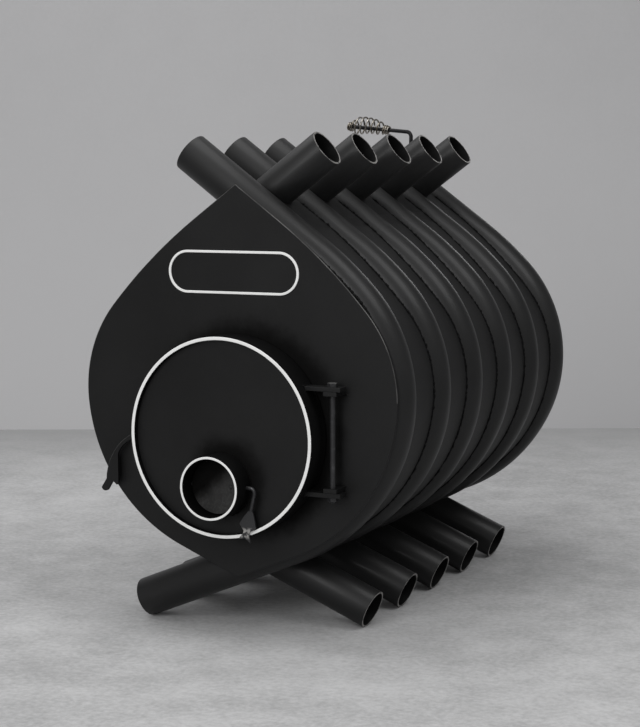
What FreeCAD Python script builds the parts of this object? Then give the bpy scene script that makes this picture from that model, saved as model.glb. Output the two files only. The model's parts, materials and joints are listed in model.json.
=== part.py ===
# Convection wood stove: a firebox of crossed bent tubes with a leaf-shaped front,
# a round hinged door with an air pipe, and a flue stub with a crank damper.
# Millimetres. +X is the stove's right seen from the front, +Y runs to the back, +Z is up.
# The origin is on the floor, at the middle of the overall width and length.
import FreeCAD, Part
import math
import os

Vec = FreeCAD.Vector
AXIS_X = Vec(1, 0, 0)
AXIS_Y = Vec(0, 1, 0)
AXIS_Z = Vec(0, 0, 1)

# Convection tubes
tube_od = 57.0
tube_wall = 3.0
right_tube_count = 6
crossing_gap = 8.6
stove_width = 517.6
shoulder_height = 340.3
shoulder_radius = 200.8
shoulder_top_angle = 43.5
shoulder_low_angle = -24.4
upper_bend_radius = 520.0
lower_bend_radius = 250.7
upper_leg_slope = 36.3
lower_leg_slope = 22.6
right_end_reach = 88.0
left_end_reach = 96.0

# Sheet metal of the firebox
casing_shoulder_step = 28.8
casing_top_angle = 40.4
casing_low_angle = -5.7
casing_upper_radius = 780.0
casing_lower_radius = 231.5
plate_thickness = 4.0
plate_lip = 16.5
shell_thickness = 3.0
shell_set_out = 14.0
weld_gap = 0.1

# Bright outline on the front plate
badge_height = 514.0
badge_shift = -3.8
badge_length = 206.0
badge_width = 61.0
badge_stroke = 3.5
badge_relief = 2.0

# Door collar, door and its seal
door_height = 286.2
door_standoff = 52.7
collar_od = 262.0
collar_wall = 4.0
rim_play = 6.0
rim_wall = 4.6
rim_gap = 5.0
disc_recess = 9.0
disc_thickness = 5.0
rope_diameter = 12.0
rope_side_gap = 0.5
seal_gap = 0.3
seal_ring_wall = 4.0
shield_radius = 104.0
shield_thickness = 3.0
shield_spacing = 8.0
shield_notch_gap = 3.5
stud_circle_radius = 85.0
stud_angles = (-10.0, 60.0, 120.0, 190.0)
stud_shoulder_diameter = 12.0
stud_diameter = 8.0
stud_nut_flats = 13.0
stud_nut_height = 6.5

# Hinge
hinge_reach = 17.3
hinge_standoff = 19.5
hinge_pin_diameter = 8.0
hinge_pin_fit = 0.05
hinge_lug_spread = 67.0
hinge_lug_width = 20.0
hinge_lug_thickness = 6.0
hinge_arm_width = 20.0
hinge_arm_thickness = 6.0
hinge_arm_swing_gap = 1.0
hinge_play = 0.3
hinge_bolt_flats = 13.0
hinge_head_height = 5.5
hinge_nut_height = 6.5
hinge_pin_tail = 2.0

# Door latch
latch_rim_gap = 1.0
latch_pivot_drop = 10.0
latch_pin_diameter = 6.0
latch_pin_fit = 0.05
latch_hub_radius = 7.0
latch_lug_thickness = 5.0
latch_lever_thickness = 5.0
latch_plate_gap = 8.0
latch_side_gap = 0.4
latch_bolt_flats = 10.0
latch_head_height = 4.0
latch_nut_height = 4.5
latch_nose_length = 24.0
latch_nose_width = 6.0
latch_nose_gap = 1.0
keeper_cover = 6.0
keeper_thickness = 4.0
keeper_height = 14.0

# Air pipe and its butterfly damper
air_pipe_od = 89.0
air_pipe_wall = 3.2
air_pipe_projection = 32.8
air_pipe_margin = 26.3
air_damper_depth = 29.0
air_rod_diameter = 5.0
air_rod_bend = 7.0
air_rod_reach = 14.0
air_rod_drop = 33.0
air_rod_tilt = 13.0
air_plate_thickness = 3.0
air_plate_neck = 6.0
air_plate_width = 26.0
air_plate_waist = 9.0
air_plate_tail = 20.0
air_plate_shoulder_at = 12.5
air_plate_shoulder_width = 19.0
air_plate_widest_at = 22.0
air_plate_waist_from = 29.5
air_plate_waist_to = 33.0
air_plate_fork_at = 39.5
air_plate_length = 44.0

# Flue stub and its damper with the crank
flue_od = 120.0
flue_edge_margin = 45.0
flue_wall = 2.5
flue_length = 150.0
flue_spigot_length = 50.0
flue_spigot_step = 1.0
flue_damper_setback = 90.0
crank_rod_diameter = 7.0
crank_side_gap = 1.0
crank_rise = 213.4
crank_bend = 9.0
crank_arm_tip = 1.0
crank_arm_tilt = 5.3

# Both dampers: a disc riveted to a flat on its rod
damper_disc_thickness = 2.5
damper_disc_gap = 2.0
damper_flat_share = 0.25
damper_rod_fit = 0.05
damper_end_tail = 5.0
rivet_diameter = 3.0
rivet_head_diameter = 6.0
rivet_head_height = 1.2
rivet_spread = 0.55
flue_cutout_angle = 80.0

# Coil-spring grip on the crank
grip_wire_diameter = 3.2
grip_rod_gap = 0.3
grip_end_radius = 7.2
grip_inner_radius = 11.0
grip_outer_radius = 16.5
grip_fullness = 6
grip_arch = 5.0
grip_tight_turns = 2.5
grip_tight_gap = 0.6
grip_open_turns = 6
grip_open_pitch = 10.5
grip_start = 42.5
grip_samples_per_turn = 60

# Afterburning chamber
baffle_height = 430.0
baffle_thickness = 4.0
baffle_front_gap = 170.0
baffle_edge_gap = 0.3
baffle_hole_diameter = 20.0
baffle_hole_rows = 4
baffle_hole_columns = 3
baffle_hole_pitch = 90.0
nozzle_od = 16.0
nozzle_wall = 2.0
nozzle_reach = 36.0
nozzle_angle = 28.0

# Stations along the stove, from the front of the air pipe to the end of the flue stub
tube_radius = tube_od / 2
tube_pitch = 2 * (tube_od + crossing_gap)
left_tube_count = right_tube_count - 1
tube_seat = tube_radius + weld_gap
body_length = (right_tube_count - 1) * tube_pitch + 2 * tube_seat + 2 * plate_thickness
overall_length = air_pipe_projection + door_standoff + body_length + flue_length
air_pipe_front = -overall_length / 2
rim_front = air_pipe_front + air_pipe_projection
plate_front = rim_front + door_standoff
plate_back = plate_front + plate_thickness
first_tube = plate_back + tube_seat
last_tube = first_tube + (right_tube_count - 1) * tube_pitch
rear_plate_front = last_tube + tube_seat
rear_plate_back = rear_plate_front + plate_thickness
flue_end = rear_plate_back + flue_length
flue_damper_y = rear_plate_back + flue_damper_setback
air_damper_y = air_pipe_front + air_damper_depth
rim_back = plate_front - rim_gap
disc_front = rim_front + disc_recess
disc_back = disc_front + disc_thickness
collar_front = disc_back + rope_diameter + seal_gap

# Radii and centres of the door
collar_radius = collar_od / 2
collar_bore = collar_radius - collar_wall
rope_circle = collar_radius - collar_wall / 2
rim_bore = collar_radius + rim_play
rim_radius = rim_bore + rim_wall
seal_ring_radius = rope_circle - rope_diameter / 2 - rope_side_gap
air_pipe_radius = air_pipe_od / 2
air_pipe_height = door_height - (rim_bore - air_pipe_margin - air_pipe_radius)
flue_radius = flue_od / 2
hinge_x = rim_radius + hinge_reach
hinge_y = plate_front - hinge_standoff
latch_x = -(rim_radius + latch_rim_gap + latch_hub_radius)
latch_z = door_height - latch_pivot_drop


def polar(angle):
    """Unit vector in the XZ plane, measured up from +X."""
    turn = math.radians(angle)
    return Vec(math.cos(turn), 0, math.sin(turn))


class Bend:
    """Right-hand half of the stove's profile: three tangent arcs between two straight legs."""

    def __init__(self, shoulder, low_angle, top_angle, lower, upper):
        centre = Vec(stove_width / 2 - tube_radius - shoulder, 0, shoulder_height)
        low_centre = centre + polar(low_angle) * (shoulder - lower)
        top_centre = centre + polar(top_angle) * (shoulder - upper)
        self.lower_arc = (low_centre, lower, lower_leg_slope - 90, low_angle)
        self.shoulder_arc = (centre, shoulder, low_angle, top_angle)
        self.upper_arc = (top_centre, upper, top_angle, 90 - upper_leg_slope)

    def shoulder_at(self, angle):
        """Point on the shoulder's arc."""
        centre, radius, _, _ = self.shoulder_arc
        return centre + polar(angle) * radius

    def lower_leg_at(self, offset, x):
        """Point at x on the straight lower leg, offset outwards."""
        centre, radius, angle, _ = self.lower_arc
        foot = centre + polar(angle) * (radius + offset)
        return Vec(x, 0, foot.z + (x - foot.x) * math.tan(math.radians(lower_leg_slope)))

    def upper_leg_at(self, offset, x):
        """Point at x on the straight upper leg, offset outwards."""
        centre, radius, _, angle = self.upper_arc
        top = centre + polar(angle) * (radius + offset)
        return Vec(x, 0, top.z - (x - top.x) * math.tan(math.radians(upper_leg_slope)))

    def edges(self, offset, low_x, high_x, side, y):
        """Edges of one side's profile, from low_x on the lower leg to high_x on the upper leg."""
        here = self.lower_leg_at(offset, low_x)
        run = []
        for centre, radius, start, end in (self.lower_arc, self.shoulder_arc, self.upper_arc):
            first = centre + polar(start) * (radius + offset)
            middle = centre + polar((start + end) / 2) * (radius + offset)
            last = centre + polar(end) * (radius + offset)
            if not run:
                run.append(Part.LineSegment(placed(here, side, y), placed(first, side, y)).toShape())
            arc = Part.Arc(placed(first, side, y), placed(middle, side, y), placed(last, side, y))
            run.append(arc.toShape())
            here = last
        finish = self.upper_leg_at(offset, high_x)
        run.append(Part.LineSegment(placed(here, side, y), placed(finish, side, y)).toShape())
        return run


def placed(point, side, y):
    """A profile point put on the right (side 1) or the left (side -1), at station y."""
    return Vec(side * point.x, y, point.z)


# The tubes swing wider round the shoulder than the casing's plates and strips, and share its legs
tube_bend = Bend(
    shoulder_radius, shoulder_low_angle, shoulder_top_angle, lower_bend_radius, upper_bend_radius
)
casing_shoulder_radius = shoulder_radius - casing_shoulder_step
casing_bend = Bend(
    casing_shoulder_radius, casing_low_angle, casing_top_angle, casing_lower_radius, casing_upper_radius
)

# The flue's hole keeps a margin of sheet up to the sloping edges of the rear plate
flue_drop = (flue_radius + flue_edge_margin) / math.cos(math.radians(upper_leg_slope))
flue_height = casing_bend.upper_leg_at(plate_lip, 0).z - flue_drop

# A tube stands on the floor with the lowest point of its square-cut lower end
floor_end_z = tube_radius * math.cos(math.radians(lower_leg_slope))
floor_end_x = (floor_end_z - tube_bend.lower_leg_at(0, 0).z) / math.tan(math.radians(lower_leg_slope))


def face_of(edges):
    """Flat face inside a closed run of edges."""
    return Part.Face(Part.Wire(Part.__sortEdges__(edges)))


def leaf(bend, offset, y_from, y_to):
    """Leaf-shaped block between two stations: both sides' profiles joined at the centre plane."""
    edges = bend.edges(offset, 0, 0, 1, y_from) + bend.edges(offset, 0, 0, -1, y_from)
    return face_of(edges).extrude(Vec(0, y_to - y_from, 0))


def rod_y(radius, y_from, y_to, x, z):
    """Cylinder along Y between two stations."""
    return Part.makeCylinder(radius, y_to - y_from, Vec(x, y_from, z), AXIS_Y)


def ring_y(outer, inner, y_from, y_to, x, z):
    """Pipe along Y between two stations."""
    return rod_y(outer, y_from, y_to, x, z).cut(rod_y(inner, y_from, y_to, x, z))


def block(x_from, x_to, y_from, y_to, z_from, z_to):
    """Box between two corners."""
    corner = Vec(x_from, y_from, z_from)
    return Part.makeBox(x_to - x_from, y_to - y_from, z_to - z_from, corner)


def hexagon(flats, height, base, axis):
    """Hexagonal nut or bolt head standing on base."""
    sides = 6
    circle = Part.Circle(base, axis, flats / math.sqrt(3))
    corners = [circle.value(2 * math.pi * (k + 0.5) / sides) for k in range(sides)]
    return Part.Face(Part.makePolygon(corners + corners[:1])).extrude(axis * height)


def plate_xz(edges, y_from, y_to):
    """Flat plate from an outline drawn at y_from."""
    return face_of(edges).extrude(Vec(0, y_to - y_from, 0))


def outline(points, y):
    """Edges of a closed outline in an XZ plane: each item is a corner, or (via, end) for an arc."""
    def at(point):
        return Vec(point[0], y, point[1])

    edges = []
    here = points[0]
    for item in points[1:] + points[:1]:
        if isinstance(item[0], tuple):
            edges.append(Part.Arc(at(here), at(item[0]), at(item[1])).toShape())
            here = item[1]
        elif item != here:
            edges.append(Part.LineSegment(at(here), at(item)).toShape())
            here = item
    return edges


def swept(edges, radius):
    """Round bar along a run of edges that starts at the first one."""
    path = Part.Wire(edges)
    start = path.Edges[0].valueAt(path.Edges[0].FirstParameter)
    heading = path.Edges[0].tangentAt(path.Edges[0].FirstParameter)
    section = Part.Face(Part.Wire(Part.Circle(start, heading, radius).toShape()))
    return path.makePipe(section)


def rounded_run(points, radius):
    """Straight runs through the points, joined by tangent arcs of one radius."""
    edges = []
    here = points[0]
    for before, corner, after in zip(points, points[1:], points[2:]):
        inward = (before - corner).normalize()
        outward = (after - corner).normalize()
        half = inward.getAngle(outward) / 2
        setback = radius / math.tan(half)
        first = corner + inward * setback
        last = corner + outward * setback
        bisector = (inward + outward).normalize()
        middle = corner + bisector * (radius / math.sin(half) - radius)
        edges.append(Part.LineSegment(here, first).toShape())
        edges.append(Part.Arc(first, middle, last).toShape())
        here = last
    edges.append(Part.LineSegment(here, points[-1]).toShape())
    return edges


def biarc(start, start_heading, end, end_heading):
    """Two tangent arcs between two points with given headings."""
    chord = end - start
    both = start_heading + end_heading
    bend = 2 * (1 - start_heading.dot(end_heading))
    along = chord.dot(both)
    reach = (math.sqrt(along * along + bend * chord.dot(chord)) - along) / bend
    first_corner = start + start_heading * reach
    second_corner = end - end_heading * reach
    joint = (first_corner + second_corner) * 0.5
    arcs = []
    for here, corner, there in ((start, first_corner, joint), (joint, second_corner, end)):
        middle = (here + there) * 0.5
        rise = corner - middle
        half = (there - here).Length / 2
        sagitta = half * math.tan(math.atan2(rise.Length, half) / 2)
        arcs.append(Part.Arc(here, middle + rise.normalize() * sagitta, there).toShape())
    return arcs


# Stations of the two rows of tubes
right_rows = [first_tube + k * tube_pitch for k in range(right_tube_count)]
left_rows = [first_tube + (k + 0.5) * tube_pitch for k in range(left_tube_count)]
nozzle_rows = ((1, right_rows[0]), (-1, left_rows[0]))


def nozzle_axis(side, y):
    """Centre of the tube and the inward direction where a secondary-air nozzle enters it."""
    return placed(tube_bend.shoulder_at(nozzle_angle), side, y), placed(polar(nozzle_angle) * -1, side, 0)


def tube_path(side, y):
    """Centre line of one tube, from its end on the floor to its open upper end."""
    reach = right_end_reach if side > 0 else left_end_reach
    return tube_bend.edges(0, floor_end_x, -reach, side, y)


def make_tube(side, y):
    """One bent convection tube, open at both ends."""
    path = tube_path(side, y)
    tube = swept(path, tube_radius).cut(swept(path, tube_radius - tube_wall))
    if (side, y) in nozzle_rows:
        centre, inward = nozzle_axis(side, y)
        tube = tube.cut(Part.makeCylinder(nozzle_od / 2 + weld_gap, tube_od, centre, inward))
    return tube


def make_nozzles():
    """Short pipes that lead hot air from the first tubes into the smoke above the fire."""
    pipes = []
    for side, y in nozzle_rows:
        centre, inward = nozzle_axis(side, y)
        mouth = centre + inward * (tube_radius - tube_wall)
        length = tube_wall + nozzle_reach
        pipe = Part.makeCylinder(nozzle_od / 2, length, mouth, inward)
        pipes.append(pipe.cut(Part.makeCylinder(nozzle_od / 2 - nozzle_wall, length, mouth, inward)))
    return Part.makeCompound(pipes)


def leg_clearance(side, y):
    """The space that a tube's two straight legs take where they cross the centre plane."""
    radius = tube_radius + weld_gap
    cutters = []
    for leg in (tube_bend.lower_leg_at, tube_bend.upper_leg_at):
        inner = placed(leg(0, tube_od), side, y)
        outer = placed(leg(0, -2 * tube_od), side, y)
        heading = outer - inner
        cutters.append(Part.makeCylinder(radius, heading.Length, inner, heading))
    return cutters


def make_shell(side, y_from, y_to):
    """Curved strip that closes the firebox between two stations, cut to seat on the tubes there."""
    outer = casing_bend.edges(shell_set_out, 0, 0, side, y_from)
    inner = casing_bend.edges(shell_set_out - shell_thickness, 0, 0, side, y_from)
    for leg in (casing_bend.lower_leg_at, casing_bend.upper_leg_at):
        low = placed(leg(shell_set_out, 0), side, y_from)
        high = placed(leg(shell_set_out - shell_thickness, 0), side, y_from)
        outer.append(Part.LineSegment(low, high).toShape())
    strip = face_of(outer + inner).extrude(Vec(0, y_to - y_from, 0))
    own_rows, other_rows = (right_rows, left_rows) if side > 0 else (left_rows, right_rows)
    for y in own_rows:
        if y in (y_from, y_to):
            strip = strip.cut(swept(tube_path(side, y), tube_seat))
    for y in other_rows:
        if y_from - tube_radius < y < y_to + tube_radius:
            strip = strip.cut(leg_clearance(-side, y))
    return max(strip.Solids, key=lambda solid: solid.Volume)


def shell_spans(rows):
    """Stations between which the strips of one side run, tube to tube."""
    return list(zip(rows, rows[1:]))


def left_shell_spans():
    """The left strips also close the gaps from the end tubes to the two plates."""
    return [(plate_back, left_rows[0])] + shell_spans(left_rows) + [(left_rows[-1], rear_plate_front)]


def make_front_plate():
    """Leaf-shaped front with the hole that the door collar passes through."""
    plate = leaf(casing_bend, plate_lip, plate_front, plate_back)
    return plate.cut(rod_y(collar_radius + weld_gap, plate_front, plate_back, 0, door_height))


def make_rear_plate():
    """Leaf-shaped back with the hole for the flue stub."""
    plate = leaf(casing_bend, plate_lip, rear_plate_front, rear_plate_back)
    hole = rod_y(flue_radius + weld_gap, rear_plate_front, rear_plate_back, 0, flue_height)
    return plate.cut(hole)


def stadium(length, width, y_from, y_to, z):
    """Flat bar with round ends, lying along X."""
    half = length / 2 - width / 2
    low = z - width / 2
    high = z + width / 2
    points = [(-half, low), (half, low), ((length / 2, z), (half, high)), (-half, high)]
    points.append(((-length / 2, z), (-half, low)))
    return plate_xz(outline(points, y_from), y_from, y_to)


def make_badge_frame():
    """Raised outline on the front plate, with nothing inside it."""
    front = plate_front - badge_relief
    inner_length = badge_length - 2 * badge_stroke
    inner_width = badge_width - 2 * badge_stroke
    bar = stadium(badge_length, badge_width, front, plate_front, badge_height)
    frame = bar.cut(stadium(inner_length, inner_width, front, plate_front, badge_height))
    frame.translate(Vec(badge_shift, 0, 0))
    return frame


def make_baffle():
    """Perforated plate over the fire; the smoke passes its front edge on the way to the flue."""
    front = plate_back + baffle_front_gap
    top = baffle_height + baffle_thickness
    room = leaf(tube_bend, -tube_radius - baffle_edge_gap, front, rear_plate_front)
    plate = room.common(block(-stove_width, stove_width, front, rear_plate_front, baffle_height, top))
    middle = (front + rear_plate_front) / 2
    for row in range(baffle_hole_rows):
        y = middle + (row - (baffle_hole_rows - 1) / 2) * baffle_hole_pitch
        for column in range(baffle_hole_columns):
            x = (column - (baffle_hole_columns - 1) / 2) * baffle_hole_pitch
            base = Vec(x, y, baffle_height)
            plate = plate.cut(Part.makeCylinder(baffle_hole_diameter / 2, baffle_thickness, base, AXIS_Z))
    return plate


def make_seal_ring():
    """Ring on the back of the door disc that keeps the rope in its channel."""
    bore = seal_ring_radius - seal_ring_wall
    return ring_y(seal_ring_radius, bore, disc_back, disc_back + rope_diameter, 0, door_height)


def make_rope_seal():
    """Round rope in the channel of the door, facing the collar's edge."""
    centre = Vec(0, disc_back + rope_diameter / 2, door_height)
    return Part.makeTorus(rope_circle, rope_diameter / 2, centre, AXIS_Y)


def make_door_disc():
    """Flat disc of the door, with the hole for the air pipe."""
    disc = rod_y(rim_bore - weld_gap, disc_front, disc_back, 0, door_height)
    return disc.cut(rod_y(air_pipe_radius + weld_gap, disc_front, disc_back, 0, air_pipe_height))


stud_places = [
    Vec(0, disc_back, door_height) + polar(angle) * stud_circle_radius for angle in stud_angles
]
shield_front = disc_back + shield_spacing
shield_back = shield_front + shield_thickness


def make_heat_shield():
    """Inner plate that keeps the fire off the door disc, notched around the air pipe."""
    shield = rod_y(shield_radius, shield_front, shield_back, 0, door_height)
    notch = air_pipe_radius + shield_notch_gap
    shield = shield.cut(rod_y(notch, shield_front, shield_back, 0, air_pipe_height))
    for place in stud_places:
        hole = rod_y(stud_diameter / 2 + weld_gap, shield_front, shield_back, place.x, place.z)
        shield = shield.cut(hole)
    return shield


def make_shield_studs():
    """Shouldered studs on the back of the door disc."""
    end = shield_back + stud_nut_height
    studs = []
    for place in stud_places:
        shoulder = rod_y(stud_shoulder_diameter / 2, disc_back, shield_front, place.x, place.z)
        studs.append(shoulder.fuse(rod_y(stud_diameter / 2, disc_back, end, place.x, place.z)))
    return Part.makeCompound([stud.removeSplitter() for stud in studs])


def make_shield_nuts():
    """Nuts that hold the heat shield on its studs."""
    nuts = []
    for place in stud_places:
        base = Vec(place.x, shield_back, place.z)
        nut = hexagon(stud_nut_flats, stud_nut_height, base, AXIS_Y)
        hole = Part.makeCylinder(stud_diameter / 2 + weld_gap, stud_nut_height, base, AXIS_Y)
        nuts.append(nut.cut(hole))
    return Part.makeCompound(nuts)


# Hinge levels: the door's arms lie outside the fixed lugs
arm_spread = hinge_lug_spread + (hinge_lug_thickness + hinge_arm_thickness) / 2 + hinge_play
arm_half = hinge_arm_width / 2
arm_reach = math.sqrt((hinge_standoff - hinge_arm_swing_gap) ** 2 - arm_half ** 2)
pin_hole = hinge_pin_diameter / 2 + hinge_pin_fit


def make_hinge_lug(direction):
    """Square-ended lug on the front plate, above (1) or below (-1) the door's middle."""
    low = door_height + direction * hinge_lug_spread - hinge_lug_thickness / 2
    high = low + hinge_lug_thickness
    half = hinge_lug_width / 2
    base = Vec(hinge_x, hinge_y, low)
    lug = block(hinge_x - half, hinge_x + half, hinge_y - half, plate_front, low, high)
    return lug.cut(Part.makeCylinder(pin_hole, hinge_lug_thickness, base, AXIS_Z))


def make_hinge_arm(direction):
    """Flat bar from the door rim to the pin; its square end just clears the plate as it swings."""
    low = door_height + direction * arm_spread - hinge_arm_thickness / 2
    high = low + hinge_arm_thickness
    base = Vec(hinge_x, hinge_y, low)
    arm = block(0, hinge_x + arm_reach, hinge_y - arm_half, hinge_y + arm_half, low, high)
    arm = arm.cut(rod_y(rim_radius + weld_gap, rim_front, plate_back, 0, door_height))
    return arm.cut(Part.makeCylinder(pin_hole, hinge_arm_thickness, base, AXIS_Z))


def make_hinge_pin():
    """Long bolt that the door turns on."""
    low = door_height - arm_spread - hinge_arm_thickness / 2 - hinge_nut_height - hinge_pin_tail
    high = door_height + arm_spread + hinge_arm_thickness / 2
    shank = Part.makeCylinder(hinge_pin_diameter / 2, high - low, Vec(hinge_x, hinge_y, low), AXIS_Z)
    head = hexagon(hinge_bolt_flats, hinge_head_height, Vec(hinge_x, hinge_y, high), AXIS_Z)
    return shank.fuse(head).removeSplitter()


def make_hinge_nut():
    """Nut under the lower arm."""
    high = door_height - arm_spread - hinge_arm_thickness / 2
    base = Vec(hinge_x, hinge_y, high - hinge_nut_height)
    nut = hexagon(hinge_bolt_flats, hinge_nut_height, base, AXIS_Z)
    return nut.cut(Part.makeCylinder(pin_hole, hinge_nut_height, base, AXIS_Z))


# Latch stations: lever next to the plate, its lug on the door rim in front of it
lever_back = plate_front - latch_plate_gap
lever_front = lever_back - latch_lever_thickness
latch_lug_back = lever_front - latch_side_gap
latch_lug_front = latch_lug_back - latch_lug_thickness
latch_hole = latch_pin_diameter / 2 + latch_pin_fit


def make_latch_lug():
    """Lug on the left of the door rim that carries the latch."""
    low = latch_z - latch_hub_radius
    high = latch_z + latch_hub_radius
    lug = block(latch_x, 0, latch_lug_front, latch_lug_back, low, high)
    lug = lug.cut(rod_y(rim_radius + weld_gap, latch_lug_front, latch_lug_back, 0, door_height))
    lug = lug.fuse(rod_y(latch_hub_radius, latch_lug_front, latch_lug_back, latch_x, latch_z))
    return lug.cut(rod_y(latch_hole, latch_lug_front, latch_lug_back, latch_x, latch_z)).removeSplitter()


def make_latch_bolt():
    """Bolt that the latch lever turns on."""
    end = lever_back + latch_side_gap + latch_nut_height
    shank = rod_y(latch_pin_diameter / 2, latch_lug_front, end, latch_x, latch_z)
    base = Vec(latch_x, latch_lug_front - latch_head_height, latch_z)
    return shank.fuse(hexagon(latch_bolt_flats, latch_head_height, base, AXIS_Y)).removeSplitter()


def make_latch_nut():
    """Nut behind the latch lever."""
    base = Vec(latch_x, lever_back + latch_side_gap, latch_z)
    nut = hexagon(latch_bolt_flats, latch_nut_height, base, AXIS_Y)
    return nut.cut(rod_y(latch_hole, base.y, base.y + latch_nut_height, latch_x, latch_z))


# Outline of the latch lever from its pivot: a slim curved neck and a paddle with a forked end
lever_neck_top = (-4.5, 4.8)
lever_neck_rise = (-35.0, -13.2)
lever_shoulder = (-55.5, -46.0)
lever_side = (-58.6, -57.0)
lever_heel = (-59.8, -67.7)
lever_tip_left = (-68.4, -81.2)
lever_tip_end = (-64.0, -86.0)
lever_tip_right = (-57.5, -84.5)
lever_fork = (-49.0, -70.8)
lever_prong_end = (-42.5, -76.5)
lever_paddle_low = (-39.5, -73.0)
lever_paddle_top = (-39.5, -30.0)
lever_neck_fall = (-24.0, -11.5)
lever_neck_low = (-4.0, -5.0)


def make_latch_lever():
    """Door handle and latch in one flat lever, with a nose that turns in behind the keeper."""
    def at(point):
        return (latch_x + point[0], latch_z + point[1])

    points = [
        at(lever_neck_top),
        (at(lever_neck_rise), at(lever_shoulder)),
        (at(lever_side), at(lever_heel)),
        at(lever_tip_left),
        (at(lever_tip_end), at(lever_tip_right)),
        at(lever_fork),
        at(lever_prong_end),
        at(lever_paddle_low),
        at(lever_paddle_top),
        (at(lever_neck_fall), at(lever_neck_low)),
    ]
    lever = plate_xz(outline(points, lever_front), lever_front, lever_back)
    half = latch_nose_width / 2
    nose_top = latch_z + latch_nose_length
    nose = block(latch_x - half, latch_x + half, lever_front, lever_back, latch_z, nose_top)
    lever = lever.fuse([nose, rod_y(latch_hub_radius, lever_front, lever_back, latch_x, latch_z)])
    return lever.cut(rod_y(latch_hole, lever_front, lever_back, latch_x, latch_z)).removeSplitter()


def make_latch_keeper():
    """Hooked bracket on the front plate; its lip holds the latch nose when the lever is pressed down."""
    low = latch_z + latch_nose_length - keeper_height
    right = latch_x - latch_nose_width / 2 - latch_nose_gap
    left = right - keeper_cover
    lip_front = lever_front - latch_side_gap - keeper_thickness
    post_left = left - keeper_thickness
    lip = block(post_left, right, lip_front, lip_front + keeper_thickness, low, low + keeper_height)
    post = block(post_left, left, lip_front, plate_front, low, low + keeper_height)
    return lip.fuse(post).removeSplitter()


def damper_flat_y(radius, y):
    """Station of the flat that a damper disc lies on, at the front of its rod."""
    return y - radius + 2 * radius * damper_flat_share


def damper_rod_flat(radius, half_length, y, z):
    """Block that mills the flat for a damper disc on the front of its rod."""
    flat = damper_flat_y(radius, y)
    return block(-half_length, half_length, y - radius, flat, z - radius, z + radius)


def make_damper_disc(disc_radius, rod_radius, y, z):
    """Round disc lying on the flat of its rod, with holes for its rivets."""
    front = damper_flat_y(rod_radius, y) - damper_disc_thickness
    disc = rod_y(disc_radius, front, front + damper_disc_thickness, 0, z)
    for x in (-rivet_spread * disc_radius, rivet_spread * disc_radius):
        hole = rod_y(rivet_diameter / 2 + weld_gap, front, front + damper_disc_thickness, x, z)
        disc = disc.cut(hole)
    return disc


def make_damper_rivets(disc_radius, rod_radius, y, z):
    """Two rivets through the disc and its rod."""
    front = damper_flat_y(rod_radius, y) - damper_disc_thickness
    back = y + rod_radius
    rivets = []
    for x in (-rivet_spread * disc_radius, rivet_spread * disc_radius):
        rivet = rod_y(rivet_diameter / 2, front, back + rivet_head_height, x, z)
        head = rod_y(rivet_head_diameter / 2, front - rivet_head_height, front, x, z)
        tail = rod_y(rivet_head_diameter / 2, back, back + rivet_head_height, x, z)
        rivets.append(rivet.fuse([head, tail]).removeSplitter())
    return Part.makeCompound(rivets)


def drilled_rod(rod, disc_radius, rod_radius, y, z):
    """Damper rod with its flat milled and its rivet holes drilled."""
    rod = rod.cut(damper_rod_flat(rod_radius, disc_radius + damper_disc_gap / 2, y, z))
    for x in (-rivet_spread * disc_radius, rivet_spread * disc_radius):
        hole = rod_y(rivet_diameter / 2 + weld_gap, y - rod_radius, y + rod_radius, x, z)
        rod = rod.cut(hole)
    return rod


air_rod_radius = air_rod_diameter / 2
air_disc_radius = air_pipe_radius - air_pipe_wall - damper_disc_gap
air_elbow = Vec(air_pipe_radius + air_rod_reach, air_damper_y, air_pipe_height)
air_rod_heading = polar(-90 - air_rod_tilt)
air_rod_end = air_elbow + air_rod_heading * air_rod_drop


def make_air_pipe():
    """Air inlet pipe through the door disc, with the holes for the damper rod."""
    bore = air_pipe_radius - air_pipe_wall
    pipe = ring_y(air_pipe_radius, bore, air_pipe_front, disc_back, 0, air_pipe_height)
    base = Vec(-air_pipe_od, air_damper_y, air_pipe_height)
    hole = Part.makeCylinder(air_rod_radius + damper_rod_fit, 2 * air_pipe_od, base, AXIS_X)
    return pipe.cut(hole)


def make_air_rod():
    """Damper rod of the air pipe, bent down into a lever."""
    start = Vec(-air_pipe_radius - damper_end_tail, air_damper_y, air_pipe_height)
    rod = swept(rounded_run([start, air_elbow, air_rod_end], air_rod_bend), air_rod_radius)
    return drilled_rod(rod, air_disc_radius, air_rod_radius, air_damper_y, air_pipe_height)


def make_air_handle():
    """Fish-shaped finger plate on the end of the air lever."""
    across = Vec(air_rod_heading.z, 0, -air_rod_heading.x)

    def at(along, width):
        point = air_rod_end + air_rod_heading * along + across * (width / 2)
        return (point.x, point.z)

    points = [
        at(0, -air_plate_neck),
        (at(air_plate_shoulder_at, -air_plate_shoulder_width), at(air_plate_widest_at, -air_plate_width)),
        at(air_plate_waist_from, -air_plate_waist),
        at(air_plate_waist_to, -air_plate_waist),
        at(air_plate_length, -air_plate_tail),
        at(air_plate_fork_at, 0),
        at(air_plate_length, air_plate_tail),
        at(air_plate_waist_to, air_plate_waist),
        at(air_plate_waist_from, air_plate_waist),
        at(air_plate_widest_at, air_plate_width),
        (at(air_plate_shoulder_at, air_plate_shoulder_width), at(0, air_plate_neck)),
    ]
    front = air_damper_y - air_plate_thickness / 2
    return plate_xz(outline(points, front), front, front + air_plate_thickness)


crank_radius = crank_rod_diameter / 2
flue_bore = flue_radius - flue_wall
flue_disc_radius = flue_bore - damper_disc_gap
crank_x = -(flue_radius + crank_side_gap + crank_bend)
crank_corner = Vec(crank_x, flue_damper_y, flue_height + crank_rise)
arm_heading = polar(180 - crank_arm_tilt)

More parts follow.
